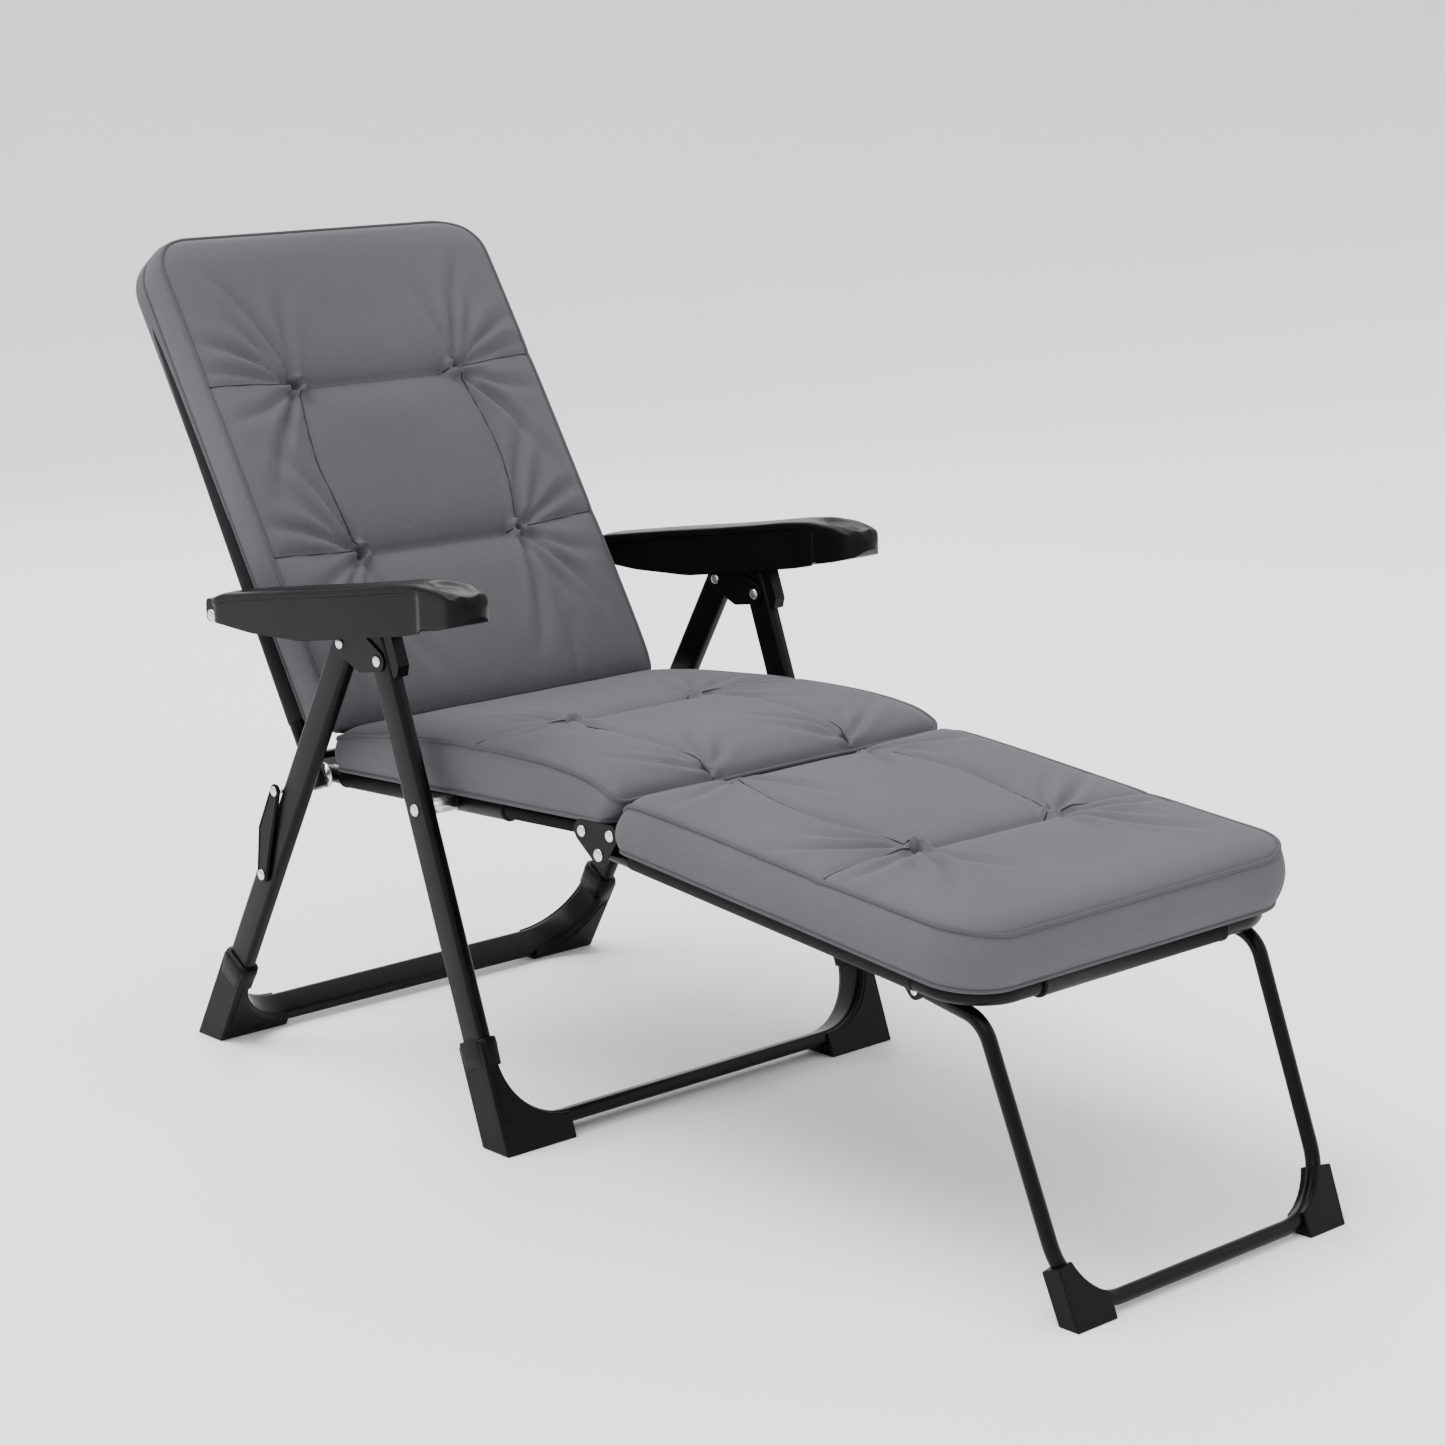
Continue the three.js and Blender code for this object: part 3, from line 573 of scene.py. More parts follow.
def sleeve(name, ends, outer, body, node_name):
    """A plastic tube round a rail, with a rounded rim at each end."""
    start, end = (Vector(p) for p in ends)
    heading = (end - start).normalized()
    sizes = [(0, RAIL_R + 0.4 * MM), (0, outer - 0.9 * MM), (0.9 * MM, outer + 0.4 * MM),
             (3.4 * MM, outer + 0.4 * MM), (4.4 * MM, outer - 0.3 * MM)]
    length = (end - start).length
    sizes += [(length - s, r) for s, r in reversed(sizes)]
    normal = heading.orthogonal().normalized()
    across = heading.cross(normal)
    rings = []
    for s, r in sizes:
        rings.append([start + heading * s + (across * a + normal * b) for a, b in round_section(r)])
    obj = mesh_object(name, *loft(rings, closed_ends=False), SHOE_PLASTIC)
    place(obj, body, "plastic", node_name)


sleeve("leg_rest_bar_grip", [space(x, REST_TOE) for x in (-135 * MM, 135 * MM)], 12.8 * MM, "leg_rest",
       "leg_rest_bar_sleeve")
for end, side in SIDES:
    stand_foot(f"stand_foot_{end}_wedge", side)
    rail_ends = [space(side * SEAT_X, BACK_PIVOT + SEAT_DIR * (d * MM)) for d in (30, 345)]
    sleeve(f"seat_rail_cover_{end}", rail_ends, 12.8 * MM, "seat", f"seat_rail_sleeve_{end}")

# ---- plates, links and rivets
plate_outline = hull_outline([(FRONT_RIVET, 12.5 * MM), (FRONT_RIVET + Vector((34, -5)) * MM, 12.5 * MM),
                              (REAR_PIVOT, 12 * MM), (ARM_PIN, 9 * MM)])
knee_fix = SEAT_PIVOT + SEAT_DIR * (238 * MM)
knee_nose = KNEE_PIVOT + Vector((-19, 24)) * MM
knee_outline = hull_outline([(knee_fix, 13 * MM), (knee_nose, 12 * MM), (KNEE_PIVOT, 12.5 * MM)])
link_bulge = (LINK_TOP + LINK_FOOT) / 2 + Vector((10, 2)) * MM
link_outline = hull_outline([(LINK_FOOT, 10 * MM), (link_bulge, 10 * MM), (LINK_TOP, 8.5 * MM)])


def raised_rim(name, outline, x, side, mat, body, slot, inset=2.6 * MM, radius=1.0 * MM):
    """A rounded bead just inside a plate's edge."""
    centre = sum(outline, Vector((0, 0))) / len(outline)
    rings = []
    count = len(outline)
    for i, p in enumerate(outline):
        along_edge = (outline[(i + 1) % count] - outline[i - 1]).normalized()
        inward = Vector((-along_edge.y, along_edge.x))
        if inward.dot(centre - p) < 0:
            inward = -inward
        base = p + inward * inset
        section = round_section(radius, 8)
        rings.append([space(side * (x + out), base + inward * near) for near, out in section])
    bead = mesh_object(name, *loft(rings, closed_loop=True), mat)
    place(bead, body, slot)


for end, side in SIDES:
    for where, x in (("inner", PLATE_INNER_X), ("outer", PLATE_OUTER_X)):
        plate = prism(f"leg_plate_{where}_{end}_steel", plate_outline, side * x, side * (x + PLATE), FRAME)
        place(plate, "front_leg", "frame", f"leg_plate_{where}_{end}")
    plate = prism(f"knee_plate_{end}_steel", knee_outline, side * KNEE_PLATE_X,
                  side * (KNEE_PLATE_X + PLATE), FRAME)
    place(plate, "seat", "frame", f"knee_plate_{end}")
    for k, at in enumerate((knee_fix, knee_nose)):
        head = rivet(f"knee_plate_rivet_{end}_{k + 1}", at, side,
                     [(SEAT_X + 6 * MM, 6 * MM), (KNEE_PLATE_X - 0.3 * MM, 6 * MM),
                      (KNEE_PLATE_X + PLATE, 4 * MM)], 6.4 * MM, 2.6 * MM, 6.2 * MM)
        place(head, "seat", "steel")

    blade = prism(f"rear_link_{end}_blade", link_outline, side * LINK_X, side * (LINK_X + LINK_THICK),
                  ARM_PLASTIC, 1.3 * MM, 3)
    place(blade, f"rear_link_body_{end}", "plastic", f"rear_link_{end}")
    raised_rim(f"rear_link_{end}_ridge", link_outline, LINK_X + 3.9 * MM, side, ARM_PLASTIC,
               f"rear_link_body_{end}", "plastic")
    crown = dome(LINK_X + 3.9 * MM, 6.2 * MM, 2.6 * MM)
    eye = lathe(f"rear_link_{end}_eye", LINK_TOP, side, crown[:1] + crown, STEEL)
    place(eye, f"rear_link_body_{end}", "steel")

    plate_in, plate_out = (PLATE_INNER_X - GAP, PIN_R), (PLATE_OUTER_X + PLATE + GAP, PIN_R)
    leg_in, leg_out = LEG_X - LEG_HALF_THICK - GAP, LEG_X + LEG_HALF_THICK + GAP
    rail_in, rail_out = SEAT_X - RAIL_R - GAP, SEAT_X + RAIL_R + GAP
    arm_rail = rail_x(218.5 * MM)
    # node, end of the piece's name, body, place, steps of the shaft, head radius, head height, inner head
    for kind, suffix, body, place_at, steps, *heads in (
        ("rear_leg_pivot_rivet", "head", "front_leg", REAR_PIVOT, [plate_in, plate_out], 6.5 * MM, 2.3 * MM),
        ("front_leg_rivet", "head", "front_leg", FRONT_RIVET, [plate_in, plate_out], 6.5 * MM, 2.3 * MM),
        ("arm_slide_pin", "steel", "front_leg", ARM_PIN, [plate_in, plate_out, (302 * MM, 5.4 * MM)],
         5.6 * MM, 1.2 * MM),
        ("seat_pivot_rivet", "steel", "front_leg", SEAT_PIVOT,
         [(rail_in, PIN_R), (rail_out, 9 * MM), (leg_in, PIN_R), (leg_out, PIN_R)], 7 * MM, 2.6 * MM),
        ("back_pivot_pin", "steel", "back_pivots", BACK_PIVOT,
         [(rail_in, PIN_R), (rail_out, WASHER_R), (BACK_X - RAIL_R - 2 * GAP, PIN_R),
          (BACK_X + RAIL_R + 2 * GAP, PIN_R)], 10.8 * MM, 3 * MM, 7.2 * MM),
        ("arm_pivot_pin", "steel", f"arm_pivot_{end}", ARM_PIVOT,
         [(arm_rail - RAIL_R - 2 * GAP, PIN_R), (arm_rail + RAIL_R + 2 * GAP, SPACER_R),
          (270.6 * MM, PIN_R), (303.4 * MM, PIN_R)], 7.5 * MM, 3 * MM),
        ("link_foot_rivet", "steel", "rear_leg", LINK_FOOT,
         [(leg_in, PIN_R), (LINK_X + LINK_THICK + GAP, PIN_R)], 6.6 * MM, 2.6 * MM),
        ("knee_pivot_rivet", "steel", "seat", KNEE_PIVOT,
         [(rail_in, PIN_R), (rail_out, 6 * MM), (KNEE_PLATE_X - GAP, PIN_R),
          (KNEE_PLATE_X + PLATE + GAP, PIN_R)], 7 * MM, 2.8 * MM),
        ("stand_pivot_rivet", "steel", "leg_rest", STAND_PIVOT,
         [(STAND_X - STAND_R - GAP, 3 * MM), (SEAT_X - RAIL_R, 3 * MM)], 4.2 * MM, 1.1 * MM),
    ):
        pin = rivet(f"{kind}_{end}_{suffix}", place_at, side, steps, *heads)
        place(pin, body, "steel", f"{kind}_{end}")
    profile = [(SEAT_X, 3.4 * MM), (SEAT_X, PIN_R), (LINK_X - 0.8 * MM, PIN_R), (LINK_X - 0.4 * MM, 3.2 * MM)]
    pin = lathe(f"link_top_pin_{end}_steel", LINK_TOP, side, profile, STEEL)
    place(pin, "seat", "steel", f"link_top_pin_{end}")

    for name, mat in ((f"stand_hanger_{end}", FRAME), (f"armrest_rack_{end}", FRAME),
                      (f"armrest_clevis_{end}", ARM_PLASTIC), (f"front_leg_cap_{end}", ARM_PLASTIC)):
        frame["nodes"][name].material_slots[0].material = mat

# ---- armrests
def arm_place(y, z):
    """A side-view place in mm, measured along the chair from the front leg's rivet."""
    return Vector((FRONT_RIVET.x + y * MM, z * MM))


ARM_UNDER = [(-188, 598), (-180, 590), (-134, 578), (-78, 566), (17, 551), (116, 535), (219, 531), (297, 534)]
ARM_OVER = [(-188, 606), (-176, 618), (-150, 624), (-106, 626), (-60, 621), (-12, 613), (60, 602), (146, 590),
            (220, 579), (285, 569), (297, 562)]
ARM_HALF = 26.0
NOSE_START = -162.0


def smooth_line(points, value):
    """A gently rounded reading of a line of (place, height)."""
    places, heights = zip(*points)
    near = [np.interp(value + shift, places, heights) for shift in (-9, -5, 0, 5, 9)]
    return sum(near) / len(near)


def ease(value, start, end):
    t = min(1.0, max(0.0, (value - start) / (end - start)))
    return t * t * (3 - 2 * t)


def arm_section(y, half):
    """The armrest's hollow cross-section at a place along it, as (across, height) in mm."""
    top = smooth_line(ARM_OVER, y) if y > -170 else np.interp(y, *zip(*ARM_OVER))
    low = smooth_line(ARM_UNDER, y) if y > -170 else np.interp(y, *zip(*ARM_UNDER))
    block = 1 - ease(y, -118, -106)
    low += 4.0 * block * ease(y, -150, -118)
    inset = 2.2 * (1 - block)
    lip = min(9.0 + 3 * block, 0.5 * (top - low))
    corner = min(4.5, 0.5 * half, 0.4 * (top - low))
    wall = min(2.6, 0.3 * half)
    ceiling = top - 4.0 if y > -148 else low + 0.05
    side = [(half - inset, low), (half - inset, top - lip - 1.2), (half, top - lip), (half, top - corner)]
    for k in range(1, 5):
        a = math.pi / 2 * k / 5
        side.append((half - corner + corner * math.cos(a), top - corner + corner * math.sin(a)))
    left = [(-x, z) for x, z in reversed(side)]
    over = []
    flat = half - corner
    for k in range(19):
        x = flat * (1 - 2 * k / 18)
        ring = math.hypot((y + 141) / 38, x / 17.5)
        dish = 3.4 * (1 - ease(ring, 0.55, 1.0))
        rim = 1.1 * math.exp(-(((ring - 1.1) / 0.1) ** 2))
        crown = 1.1 * (1 - (x / max(half, 1)) ** 2)
        shrink = min(1.0, half / 20)
        over.append((x, top + (crown + rim - dish) * shrink))
    inner = [(-(half - inset - wall), low), (-(half - inset - wall), ceiling),
             (half - inset - wall, ceiling), (half - inset - wall, low)]
    return side + over + left + inner


def armrest(name, side, body, node_name):
    places = [297, 296.4, 295, 292, 286, *np.arange(276, -100, -9.0), *np.arange(-102, -162, -2.5)]
    rings = [(y, ARM_HALF - 1.5 * ease(y, 293, 298)) for y in places]
    for k in range(13):
        a = math.radians(7.3 * k)
        rings.append((NOSE_START - ARM_HALF * math.sin(a), max(1.2, ARM_HALF * math.cos(a))))
    lofted = []
    for y, half in rings:
        lofted.append([space(side * (ARM_X + x * MM), arm_place(y, z)) for x, z in arm_section(y, half)])
    obj = mesh_object(name, *loft(lofted), ARM_PLASTIC)
    obj.data.set_sharp_from_angle(angle=math.radians(38))
    return place(obj, body, "plastic", node_name)


for end, side in SIDES:
    armrest(f"armrest_{end}_moulding", side, f"armrest_body_{end}", f"armrest_{end}")


# ---- slings and the pocket
def grid_object(name, rows, mat):
    """An open sheet through rows of points."""
    points, faces = loft(rows, closed_ends=False)
    count = len(rows[0])
    open_faces = [f for i, f in enumerate(faces) if (i % count) != count - 1]
    return mesh_object(name, points, open_faces, mat)


SLING_HEIGHT = 6.2 * MM  # above the line between the rails' middles


def sling(name, origin, direction, up, start, end, half_at, wrap, sag, body, node_name):
    """A stretched sheet between two rails, lapped round them where wrap is their radius."""
    rows, widths = [], []
    for s in np.linspace(start, end, 40):
        base = origin + direction * (s * MM)
        half = half_at(s * MM)
        row = []
        if wrap:
            turns = [math.radians(-120 + 17.5 * k) for k in range(13)]
            row = [(half + wrap * math.cos(a), wrap * math.sin(a)) for a in turns]
        edge = row[-1] if row else (half, SLING_HEIGHT)
        flat = []
        for k in range(1, 30):
            t = k / 30
            x = edge[0] * (1 - 2 * t)
            belly = sag * (1 - (x / edge[0]) ** 2) * math.sin(math.pi * (s - start) / (end - start)) ** 0.5
            flat.append((x, edge[1] + (SLING_HEIGHT - edge[1]) * min(1, 6 * t, 6 * (1 - t)) - belly))
        mirror = [(-x, n) for x, n in reversed(row or [edge])]
        line = (row or [edge]) + flat + mirror
        rows.append([space(x, base + up * n) for x, n in line])
        widths.append(sum(math.dist(a, b) for a, b in zip(line, line[1:])))
    obj = grid_object(name, rows, MESH)
    place(obj, body, "sling", node_name)
    return obj


SEAT_UP = -turned(SEAT_DIR)
REST_UP = -turned(REST_DIR)
BACK_UP = turned(BACK_DIR)
sling("seat_sling_mesh", BACK_PIVOT, SEAT_DIR, SEAT_UP, -60, 332, lambda s: 208 * MM, 0, 4 * MM, "seat",
      "seat_sling")
sling("back_sling_mesh", BACK_PIVOT, BACK_DIR, BACK_UP, 70, 606, rail_x, RAIL_R + 0.8 * MM, 4 * MM, "back",
      "back_sling")
sling("leg_rest_sling_mesh", KNEE_PIVOT, REST_DIR, REST_UP, 34, 455, lambda s: SEAT_X, RAIL_R + 0.8 * MM,
      4 * MM, "leg_rest", "leg_rest_sling")


# ---- quilted cushions
def rounded(points, samples=400):
    """A smooth line through (distance, height) points, and its length at each sample."""
    p = np.array([points[0]] + list(points) + [points[-1]], float)
    line = []
    for i in range(1, len(p) - 2):
        t = np.linspace(0, 1, samples // (len(p) - 3), endpoint=i == len(p) - 3)[:, None]
        a, b, c, d = p[i - 1], p[i], p[i + 1], p[i + 2]
        line.append(0.5 * (2 * b + (c - a) * t + (2 * a - 5 * b + 4 * c - d) * t**2
                           + (3 * b - a - 3 * c + d) * t**3))
    line = np.vstack(line)
    run = np.concatenate([[0], np.cumsum(np.hypot(*np.diff(line, axis=0).T))])
    return line, run


def distance_to(points, line):
    """Each point's distance to a line of points, and how far along the line its nearest place is, 0 to 1."""
    best = np.full(len(points), 1e9)
    share = np.zeros(len(points))
    line = np.array(line, float)
    lengths = np.hypot(*np.diff(line, axis=0).T)
    done = 0.0
    for a, b, length in zip(line, line[1:], lengths):
        t = np.clip(((points - a) @ (b - a)) / length**2, 0, 1)
        d = np.hypot(*(points - (a + t[:, None] * (b - a))).T)
        closer = d < best
        best[closer] = d[closer]
        share[closer] = np.clip((done + t * length) / lengths.sum(), 0, 1)[closer]
        done += length
    return best, share


def curve_through(points, samples=14):
    if len(points) == 2:
        return points
    line, _ = rounded(points, samples * (len(points) - 1))
    return [tuple(p) for p in line]


def corner_places(x, q, half, length, far, near):
    """For each end's round corners, the places past the corner's centre across and along."""
    for corner, edge, sign in ((far, length, 1), (near, 0.0, -1)):
        p = np.abs(x) - (half - corner)
        r = sign * (q - edge) + corner
        yield corner, edge, sign, p, r, (p > 0) & (r > 0)


def rounded_plan(across, along_share, half, length, far, near):
    """A grid place, -1..1 across and 0..1 along, in a plan with round corners. In mm."""
    x, q = across * half, along_share * length
    for corner, edge, sign, p, r, inside in corner_places(x, q, half, length, far, near):
        pp, rr = np.where(inside, p, 0) / corner, np.where(inside, r, 0) / corner
        x = np.where(inside, np.sign(x) * (half - corner + corner * pp * np.sqrt(1 - rr**2 / 2)), x)
        q = np.where(inside, edge + sign * (corner * rr * np.sqrt(1 - pp**2 / 2) - corner), q)
    return x, q


def edge_distance(x, q, half, length, far, near):
    """How far a place is from the nearest edge of that plan."""
    e = np.minimum(np.minimum(half - np.abs(x), length - q), q)
    for corner, _, _, p, r, inside in corner_places(x, q, half, length, far, near):
        e = np.where(inside, corner - np.hypot(p, r), e)
    return np.maximum(e, 0)


def ripples(x, q, seed):
    """Slack in the cloth: a few long, low waves."""
    rng = np.random.default_rng(seed)
    total = np.zeros_like(x)
    for _ in range(9):
        wave = rng.uniform(45, 130)
        a = rng.uniform(0, 2 * math.pi)
        phase = rng.uniform(0, 2 * math.pi)
        total += np.sin(2 * math.pi * (x * math.cos(a) + q * math.sin(a)) / wave + phase)
    return total / 9


CUSHION_HALF = 240.0


class Cushion:
    """A sewn cushion: a quilted top, boxing round its edge and a flat underside."""

    def __init__(self, origin, direction, up, over, under, far, near, crown, seams, tufts, creases, seed):
        self.origin, self.direction, self.up = origin, direction, up
        self.over, self.run = rounded(over)
        self.under, self.under_run = rounded(under)
        self.length, self.under_length = self.run[-1], self.under_run[-1]
        self.half, self.far, self.near, self.crown = CUSHION_HALF, far, near, crown
        self.seams = [([self.flat(p) for p in curve_through(line)], depth, width)
                      for line, depth, width in seams]
        self.tufts = [(self.flat(p), depth, radius) for p, depth, radius in tufts]
        self.creases = [([self.flat(p) for p in curve_through(line)], depth, width)
                        for line, depth, width in creases]
        self.seed = seed

    def flat(self, place_on_top):
        """A place (across, distance) as (across, length along the top)."""
        x, d = place_on_top
        rising = np.maximum.accumulate(self.over[:, 0])
        return (x, float(np.interp(d, rising, self.run)))

    def world(self, x, d, n):
        y = self.origin.x + MM * (self.direction.x * d + self.up.x * n)
        z = self.origin.y + MM * (self.direction.y * d + self.up.y * n)
        return np.stack([MM * x, y, z], axis=-1)

    def relief(self, x, q):
        """The padded height over the sewn outline."""
        shape = x.shape
        places = np.stack([x.ravel(), q.ravel()], axis=-1)
        e = edge_distance(x, q, self.half, self.length, self.far, self.near).ravel()
        rim = 1 - np.exp(-e / 15)
        height = -2.5 + (self.crown + 2.5) * rim
        dips = np.zeros(len(places))
        for line, depth, width in self.seams:
            d, _ = distance_to(places, line)
            dips += (depth * np.exp(-d / width) + 2.2 * np.exp(-((d / 4.0) ** 2))) ** 2.2
        for at_place, depth, radius in self.tufts:
            d = np.hypot(*(places - np.array(at_place)).T)
            dips += (depth * np.exp(-d / radius)) ** 2.2
        for line, depth, width in self.creases:
            d, share = distance_to(places, line)
            wide = width * (0.5 + 1.0 * share)
            fold = np.exp(-d / (0.75 * wide)) - 0.42 * np.exp(-(((d - 1.7 * wide) / wide) ** 2))
            height -= depth * (1 - share) ** 0.7 * fold * rim
        height -= dips ** (1 / 2.2) * (0.25 + 0.75 * rim)
        height += 0.9 * ripples(places[:, 0], places[:, 1], self.seed) * rim
        return height.reshape(shape)

    def top(self, x, q, lift=0.0):
        d = np.interp(q, self.run, self.over[:, 0])
        n = np.interp(q, self.run, self.over[:, 1])
        slope = np.gradient(self.over, self.run, axis=0)
        td = np.interp(q, self.run, slope[:, 0])
        tn = np.interp(q, self.run, slope[:, 1])
        size = np.hypot(td, tn)
        height = self.relief(x, q) + lift
        return self.world(x, d - tn / size * height, n + td / size * height)

    def bottom(self, x, q):
        q = q * self.under_length / self.length
        d = np.interp(q, self.under_run, self.under[:, 0])
        n = np.interp(q, self.under_run, self.under[:, 1])
        return self.world(x, d, n)

    def plan(self, a, b):
        return rounded_plan(a, b, self.half, self.length, self.far, self.near)

    def loop(self, columns, rows):
        """The grid indices round the edge, as (row, column)."""
        ring = [(0, c) for c in range(columns)]
        ring += [(r, columns - 1) for r in range(1, rows)]
        ring += [(rows - 1, c) for c in range(columns - 2, -1, -1)]
        ring += [(r, 0) for r in range(rows - 2, 0, -1)]
        return ring

    def build(self, name, pitch=3.6, bulge=4.5, boxing=9):
        columns = int(2 * self.half / pitch) | 1
        rows = int(self.length / pitch) | 1
        a, b = np.meshgrid(np.linspace(-1, 1, columns), np.linspace(0, 1, rows))
        x, q = self.plan(a, b)
        top, low = self.top(x, q), self.bottom(x, q)
        count = columns * rows
        points = [top.reshape(-1, 3), low.reshape(-1, 3)]
        faces = []
        for r in range(rows - 1):
            for c in range(columns - 1):
                i = r * columns + c
                faces.append((i, i + 1, i + columns + 1, i + columns))
                faces.append((count + i, count + i + columns, count + i + columns + 1, count + i + 1))
        ring = self.loop(columns, rows)
        ids = np.array([r * columns + c for r, c in ring])
        upper, lower = top.reshape(-1, 3)[ids], low.reshape(-1, 3)[ids]
        self.upper_ring, self.lower_ring = upper, lower
        middle_ring = (upper + lower) / 2
        outward = self.outward(middle_ring)
        self.ring_outward = outward
        previous = ids
        offset = 2 * count
        for k in range(1, boxing):
            w = k / boxing
            wave = 1 + 0.12 * np.sin(np.arange(len(ids)) * 0.11 + self.seed)
            swell = bulge * MM * (math.sin(math.pi * w) ** 0.7) * wave
            layer = upper * (1 - w) + lower * w + outward * swell[:, None]
            points.append(layer)
            current = offset + np.arange(len(ids))
            offset += len(ids)
            faces += self.strip(previous, current)
            previous = current
        faces += self.strip(previous, count + ids)
        return mesh_object(name, np.vstack(points), [tuple(int(i) for i in f) for f in faces], CLOTH)

    @staticmethod
    def strip(first, second):
        n = len(first)
        return [(first[k], second[k], second[(k + 1) % n], first[(k + 1) % n]) for k in range(n)]

    @staticmethod
    def outward(ring):
        """The direction away from the cushion at each place round its edge."""
        tangent = np.roll(ring, -1, axis=0) - np.roll(ring, 1, axis=0)
        tangent /= np.linalg.norm(tangent, axis=1)[:, None]
        normal = np.cross(ring[10] - ring[0], ring[len(ring) // 2] - ring[0])
        normal = normal / np.linalg.norm(normal)
        out = np.cross(tangent, normal)
        centre = ring.mean(axis=0)
        if np.einsum("ij,ij->i", out, ring - centre).mean() < 0:
            out = -out
        return out / np.linalg.norm(out, axis=1)[:, None]


def cord_round(name, ring, outward, radius, mat, reach=0.0, sides=10, closed=True):
    """A welt: a round cord along a ring of points."""
    rings = []
    count = len(ring)
    for i in range(count):
        ahead = ring[(i + 1) % count] if closed or i < count - 1 else ring[i]
        behind = ring[i - 1] if closed or i > 0 else ring[i]
        tangent = Vector(ahead - behind).normalized()
        out = Vector(outward[i])
        out = (out - tangent * out.dot(tangent)).normalized()
        side_way = tangent.cross(out)
        centre = Vector(ring[i]) + out * reach
        rings.append([centre + out * a + side_way * b for a, b in round_section(radius, sides)])
    return mesh_object(name, *loft(rings, closed_loop=closed), mat)


def thinned(ring, outward, step):
    return ring[::step], outward[::step]


def trims(cushion, name, welt=2.7, low_welt=2.5):
    """The welts round a cushion, and a near-black cord along each seam that is painted seam shadow."""
    upper, out = thinned(cushion.upper_ring, cushion.ring_outward, 2)
    lower, _ = thinned(cushion.lower_ring, cushion.ring_outward, 2)
    made = [cord_round(f"{name}_welt", upper, out, welt * MM, PIPING, 0.6 * MM),
            cord_round(f"{name}_lower_welt", lower, out, low_welt * MM, PIPING, 0.4 * MM)]
    for k, (line, _, _) in enumerate(cushion.seams):
        stations, _ = resampled(line, 5.0)
        for tuft, _, _ in cushion.tufts:
            stations = stations[np.hypot(*(stations - np.array(tuft)).T) > 9]
        x, q = stations[:, 0], stations[:, 1]
        q = np.clip(q, 1, cushion.length - 1)
        x = np.clip(x, 2 - CUSHION_HALF, CUSHION_HALF - 2)
        points = cushion.top(x, q, 0.5)
        lifted = cushion.top(x, q, 3.0) - points
        # a near-black cord along the seam: painted seam shadow
        made.append(cord_round(f"{name}_seam_{k + 1}", points, lifted, 0.9 * MM, SEAM_SHADOW_CORD, 0.0, 6, False))
    return made


def resampled(line, step):
    line = np.array(line, float)
    run = np.concatenate([[0], np.cumsum(np.hypot(*np.diff(line, axis=0).T))])
    places = np.linspace(0, run[-1], max(2, int(run[-1] / step)))
    return np.stack([np.interp(places, run, line[:, 0]), np.interp(places, run, line[:, 1])], axis=-1), run


def pulls(tuft, headings, length, depth, width):
    """Creases that run out from a tuft in the given headings, in degrees."""
    made = []
    for k, heading in enumerate(headings):
        a = math.radians(heading)
        reach = length * (1.0 if k % 2 == 0 else 0.72)
        bend = math.radians(heading + (7 if k % 2 else -6))
        points = [tuft, (tuft[0] + 0.5 * reach * math.cos(a), tuft[1] + 0.5 * reach * math.sin(a)),
                  (tuft[0] + reach * math.cos(bend), tuft[1] + reach * math.sin(bend))]
        made.append((points, depth * (1.0 if k % 2 == 0 else 0.75), width))
    return made


def both_sides(items):
    """Items whose first part is a place or line, with their mirror images."""
    made = list(items)
    for shape, *rest in items:
        if isinstance(shape[0], (int, float)):
            made.append(((-shape[0], shape[1]), *rest))
        else:
            made.append(([(-x, d) for x, d in shape], *rest))
    return made


def mirrored_pulls(*crease):
    return both_sides(pulls(*crease))


BACK_ROWS = (469, 243)
BACK_TUFT = 119
back_cushion = Cushion(
    BACK_PIVOT, BACK_DIR, BACK_UP,
    over=[(31, 55), (38, 63), (100, 69), (350, 69), (600, 66), (660, 61), (685, 50)],
    under=[(56, 13.5), (350, 13.5), (690, 13.5)], far=58, near=14, crown=7.5,
    seams=[([(-BACK_TUFT, s), (BACK_TUFT, s)], 18, 20) for s in BACK_ROWS]
    + both_sides([([(BACK_TUFT, s), (239, s + 10)], 6, 12) for s in BACK_ROWS])
    + both_sides([([(BACK_TUFT, 469), (134, 356), (BACK_TUFT, 243)], 5, 12)]),
    tufts=both_sides([((BACK_TUFT, s), 9, 32) for s in BACK_ROWS]),
    creases=mirrored_pulls((BACK_TUFT, 469), (34, 54, 72, 94, 16, -26, -54), 185, 10.5, 9)
    + mirrored_pulls((BACK_TUFT, 243), (26, 47, 70, -30, -52, -74, -98), 175, 10.0, 9)
    + both_sides([([(200, 28), (180, 90), (172, 150)], 2.5, 9),
                  ([(120, 28), (128, 80), (150, 130)], 2.2, 9)]),
    seed=4)
seat_cushion = Cushion(
    BACK_PIVOT, SEAT_DIR, SEAT_UP,
    over=[(34, 48), (58, 57), (120, 65), (200, 70), (300, 73), (420, 70), (500, 61), (536, 49), (550, 37)],
    under=[(34, 13), (280, 13), (531, 13)], far=16, near=14, crown=7.5,
    seams=[([(-92, 296), (92, 296)], 13, 18)]
    + both_sides([([(92, 296), (239, 306)], 5, 11), ([(92, 296), (112, 410), (102, 548)], 4.5, 11)]),
    tufts=both_sides([((92, 296), 8, 32), ((102, 540), 8, 30)]),
    creases=mirrored_pulls((92, 296), (22, 46, 70, -26, -52, -80), 150, 8.6, 9)
    + mirrored_pulls((102, 540), (-28, -52, -116, -148), 125, 8.8, 9),
    seed=9)
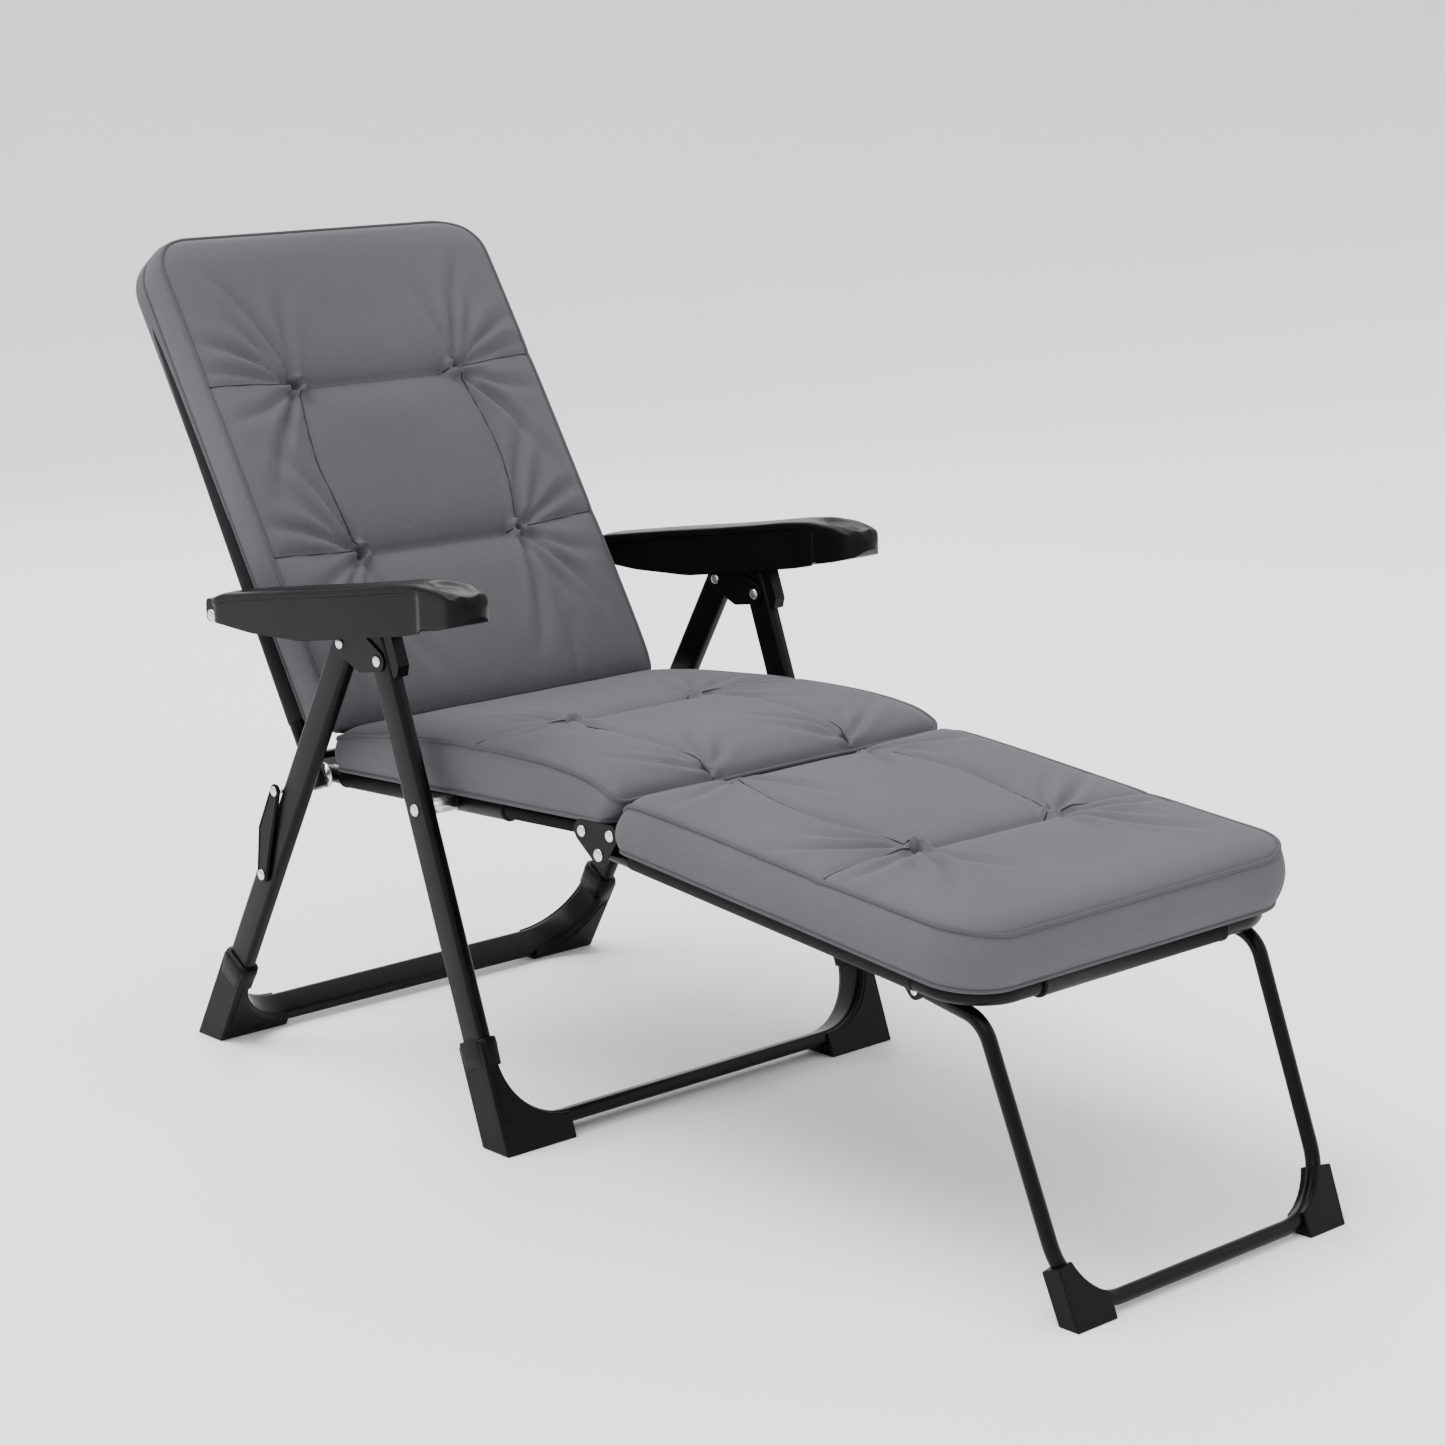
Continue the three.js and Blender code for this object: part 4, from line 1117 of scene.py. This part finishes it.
leg_cushion = Cushion(
    KNEE_PIVOT, REST_DIR, REST_UP,
    over=[(30, 52), (38, 64), (56, 70), (150, 72), (300, 72), (420, 73), (500, 74), (528, 72), (540, 67)],
    under=[(24, 12.5), (280, 12.5), (541, 11.5)], far=58, near=14, crown=7.5,
    seams=[([(-100, 325), (100, 325)], 13, 18), ([(-100, 44), (100, 44)], 8, 14)]
    + both_sides([([(100, 325), (239, 334)], 5, 11), ([(100, 44), (122, 180), (100, 325)], 4.5, 11)]),
    tufts=both_sides([((100, 325), 8, 32), ((100, 44), 8, 30)]),
    creases=mirrored_pulls((100, 325), (20, 42, 66, 98, -26, -54), 165, 9.2, 9)
    + mirrored_pulls((100, 44), (26, 54, 116), 135, 8.4, 9),
    seed=15)

BACK_KEEP = 0.3
SEAT_KEEP = 0.15


def dressed(cushion, name, body, node_name, fill, squash=None, keep=1.0, **build):
    """The cushion with its welts and its cords of painted seam shadow, riding on a body; with squash its
    pieces get meshes of their own.
    """
    obj = cushion.build(name, **build)
    place(obj, body, "cushion_fabric", node_name)
    parts = [obj] + trims(cushion, name)
    for part in parts[1:]:
        place(part, body, "cushion_fabric")
    if squash:
        for part in parts:
            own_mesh(part)
    return obj


dressed(back_cushion, "back_cushion_cover", "back", "back_cushion", 0.7, "back_fold", BACK_KEEP)
dressed(seat_cushion, "seat_cushion_cover", "seat", "seat_cushion", 0.65, "seat_fold", SEAT_KEEP)
dressed(leg_cushion, "leg_rest_cushion_cover", "leg_rest", "leg_rest_cushion", 0.7, bulge=8.5)


def back_pocket():
    """The cover's pocket, drawn over the top of the back frame."""
    half, start, far, corner = 241.5, 330.0, 693.5, 60.0
    edge = [(-half, start)]
    for s in np.linspace(start, far - corner, 26)[1:]:
        edge.append((-half, s))
    for k in range(1, 13):
        a = math.pi - math.pi / 2 * k / 12
        edge.append((-half + corner + corner * math.cos(a), far - corner + corner * math.sin(a)))
    for x in np.linspace(-half + corner, half - corner, 30)[1:]:
        edge.append((x, far))
    right = [(-x, s) for x, s in reversed(edge) if x < -half + corner + 1e-6]
    edge = edge[: 26 + 12 + 29] + right[1:]
    rows = []
    for share, n in ((1.0, 12.5), (1.0, 4), (1.0, -4), (0.998, -10), (0.985, -13.2)):
        rows.append([(x * share, start + (s - start) * share, n) for x, s in edge])
    for inner in np.linspace(0.95, 0.0, 14):
        row = []
        for x, s in edge:
            pucker = 0.5 * math.sin(0.06 * x + 0.045 * s)
            row.append((x * inner, start + (s - start) * (0.985 * inner), -13.4 + pucker * inner))
        rows.append(row)

    def in_space(x, s, n):
        return space(x * MM, BACK_PIVOT + BACK_DIR * (s * MM) + BACK_UP * (n * MM))

    world = [[in_space(*p) for p in row] for row in rows]
    obj = grid_object("back_pocket_cloth", world, CLOTH)
    area = sum(f.area for f in obj.data.polygons)
    place(obj, "back", "cushion_fabric", "back_cushion_pocket")
    wide = (2 * half + 2 * 26) * MM
    long = (far - start + 26) * MM
    area = min(area, 0.999 * wide * long)


back_pocket()

# ---- floor, light and camera
def stage():
    floor_mat, tree, shader = material("pale_floor", (0.93, 0.93, 0.935), 0.6, Specular_IOR_Level=0.2)
    coordinates = tree.nodes.new("ShaderNodeTexCoord").outputs["Object"]
    tint(tree, noise_of(tree, coordinates, 2.0), (0.92, 0.92, 0.925), (0.94, 0.94, 0.945),
         shader.inputs["Base Color"])
    run = [(-14, 0), (0, 0), (6, 0)]
    for k in range(1, 13):
        a = math.pi / 2 * k / 12
        run.append((6 + 4 * math.sin(a), 4 - 4 * math.cos(a)))
    run += [(10, 14)]
    rows = [[Vector((x, y, z)) for x in (-20, 20)] for y, z in run]
    floor = grid_object("studio_floor", rows, floor_mat)

    world = bpy.data.worlds.new("studio")
    world.use_nodes = True
    world.node_tree.nodes["Background"].inputs["Color"].default_value = (1, 1, 1, 1)
    world.node_tree.nodes["Background"].inputs["Strength"].default_value = 1.25
    bpy.context.scene.world = world

    for name, place_at, aim, size, power in (
        ("key_light", (-2.6, -2.2, 3.6), (0, 0, 0.4), 2.6, 60),
        ("fill_light", (3.4, -2.6, 2.2), (0, 0, 0.4), 3.0, 25),
        ("rim_light", (1.5, 3.4, 3.0), (0, 0, 0.5), 2.4, 70),
    ):
        data = bpy.data.lights.new(name, "AREA")
        data.shape = "SQUARE"
        data.size = size
        data.energy = power
        lamp = bpy.data.objects.new(name, data)
        lamp.location = place_at
        lamp.rotation_euler = (Vector(aim) - Vector(place_at)).to_track_quat("-Z", "Y").to_euler()
        bpy.context.scene.collection.objects.link(lamp)
    data = bpy.data.lights.new("high_light", "SUN")
    data.energy = 3.2
    data.angle = 0.7
    lamp = bpy.data.objects.new("high_light", data)
    lamp.rotation_euler = Vector((0.35, -0.3, -1.0)).to_track_quat("-Z", "Y").to_euler()
    bpy.context.scene.collection.objects.link(lamp)


def camera():
    """A long lens, a little above the seat, off the sitter's right knee."""
    azimuth, elevation, roll = math.radians(-41.087), math.radians(12.472), math.radians(-1.248)
    back = Vector((math.sin(azimuth) * math.cos(elevation), -math.cos(azimuth) * math.cos(elevation),
                   math.sin(elevation)))
    right = Vector((math.cos(azimuth), math.sin(azimuth), 0))
    up = back.cross(right)
    right, up = (right * math.cos(roll) + up * math.sin(roll), up * math.cos(roll) - right * math.sin(roll))
    data = bpy.data.cameras.new("camera")
    data.lens = 79.48
    data.sensor_width = 36
    data.clip_end = 60
    obj = bpy.data.objects.new("camera", data)
    axes = Matrix((right, up, back)).transposed()
    obj.matrix_world = Matrix.Translation((-2.276, -2.662, 1.212)) @ axes.to_4x4()
    bpy.context.scene.collection.objects.link(obj)
    bpy.context.scene.camera = obj


stage()
camera()
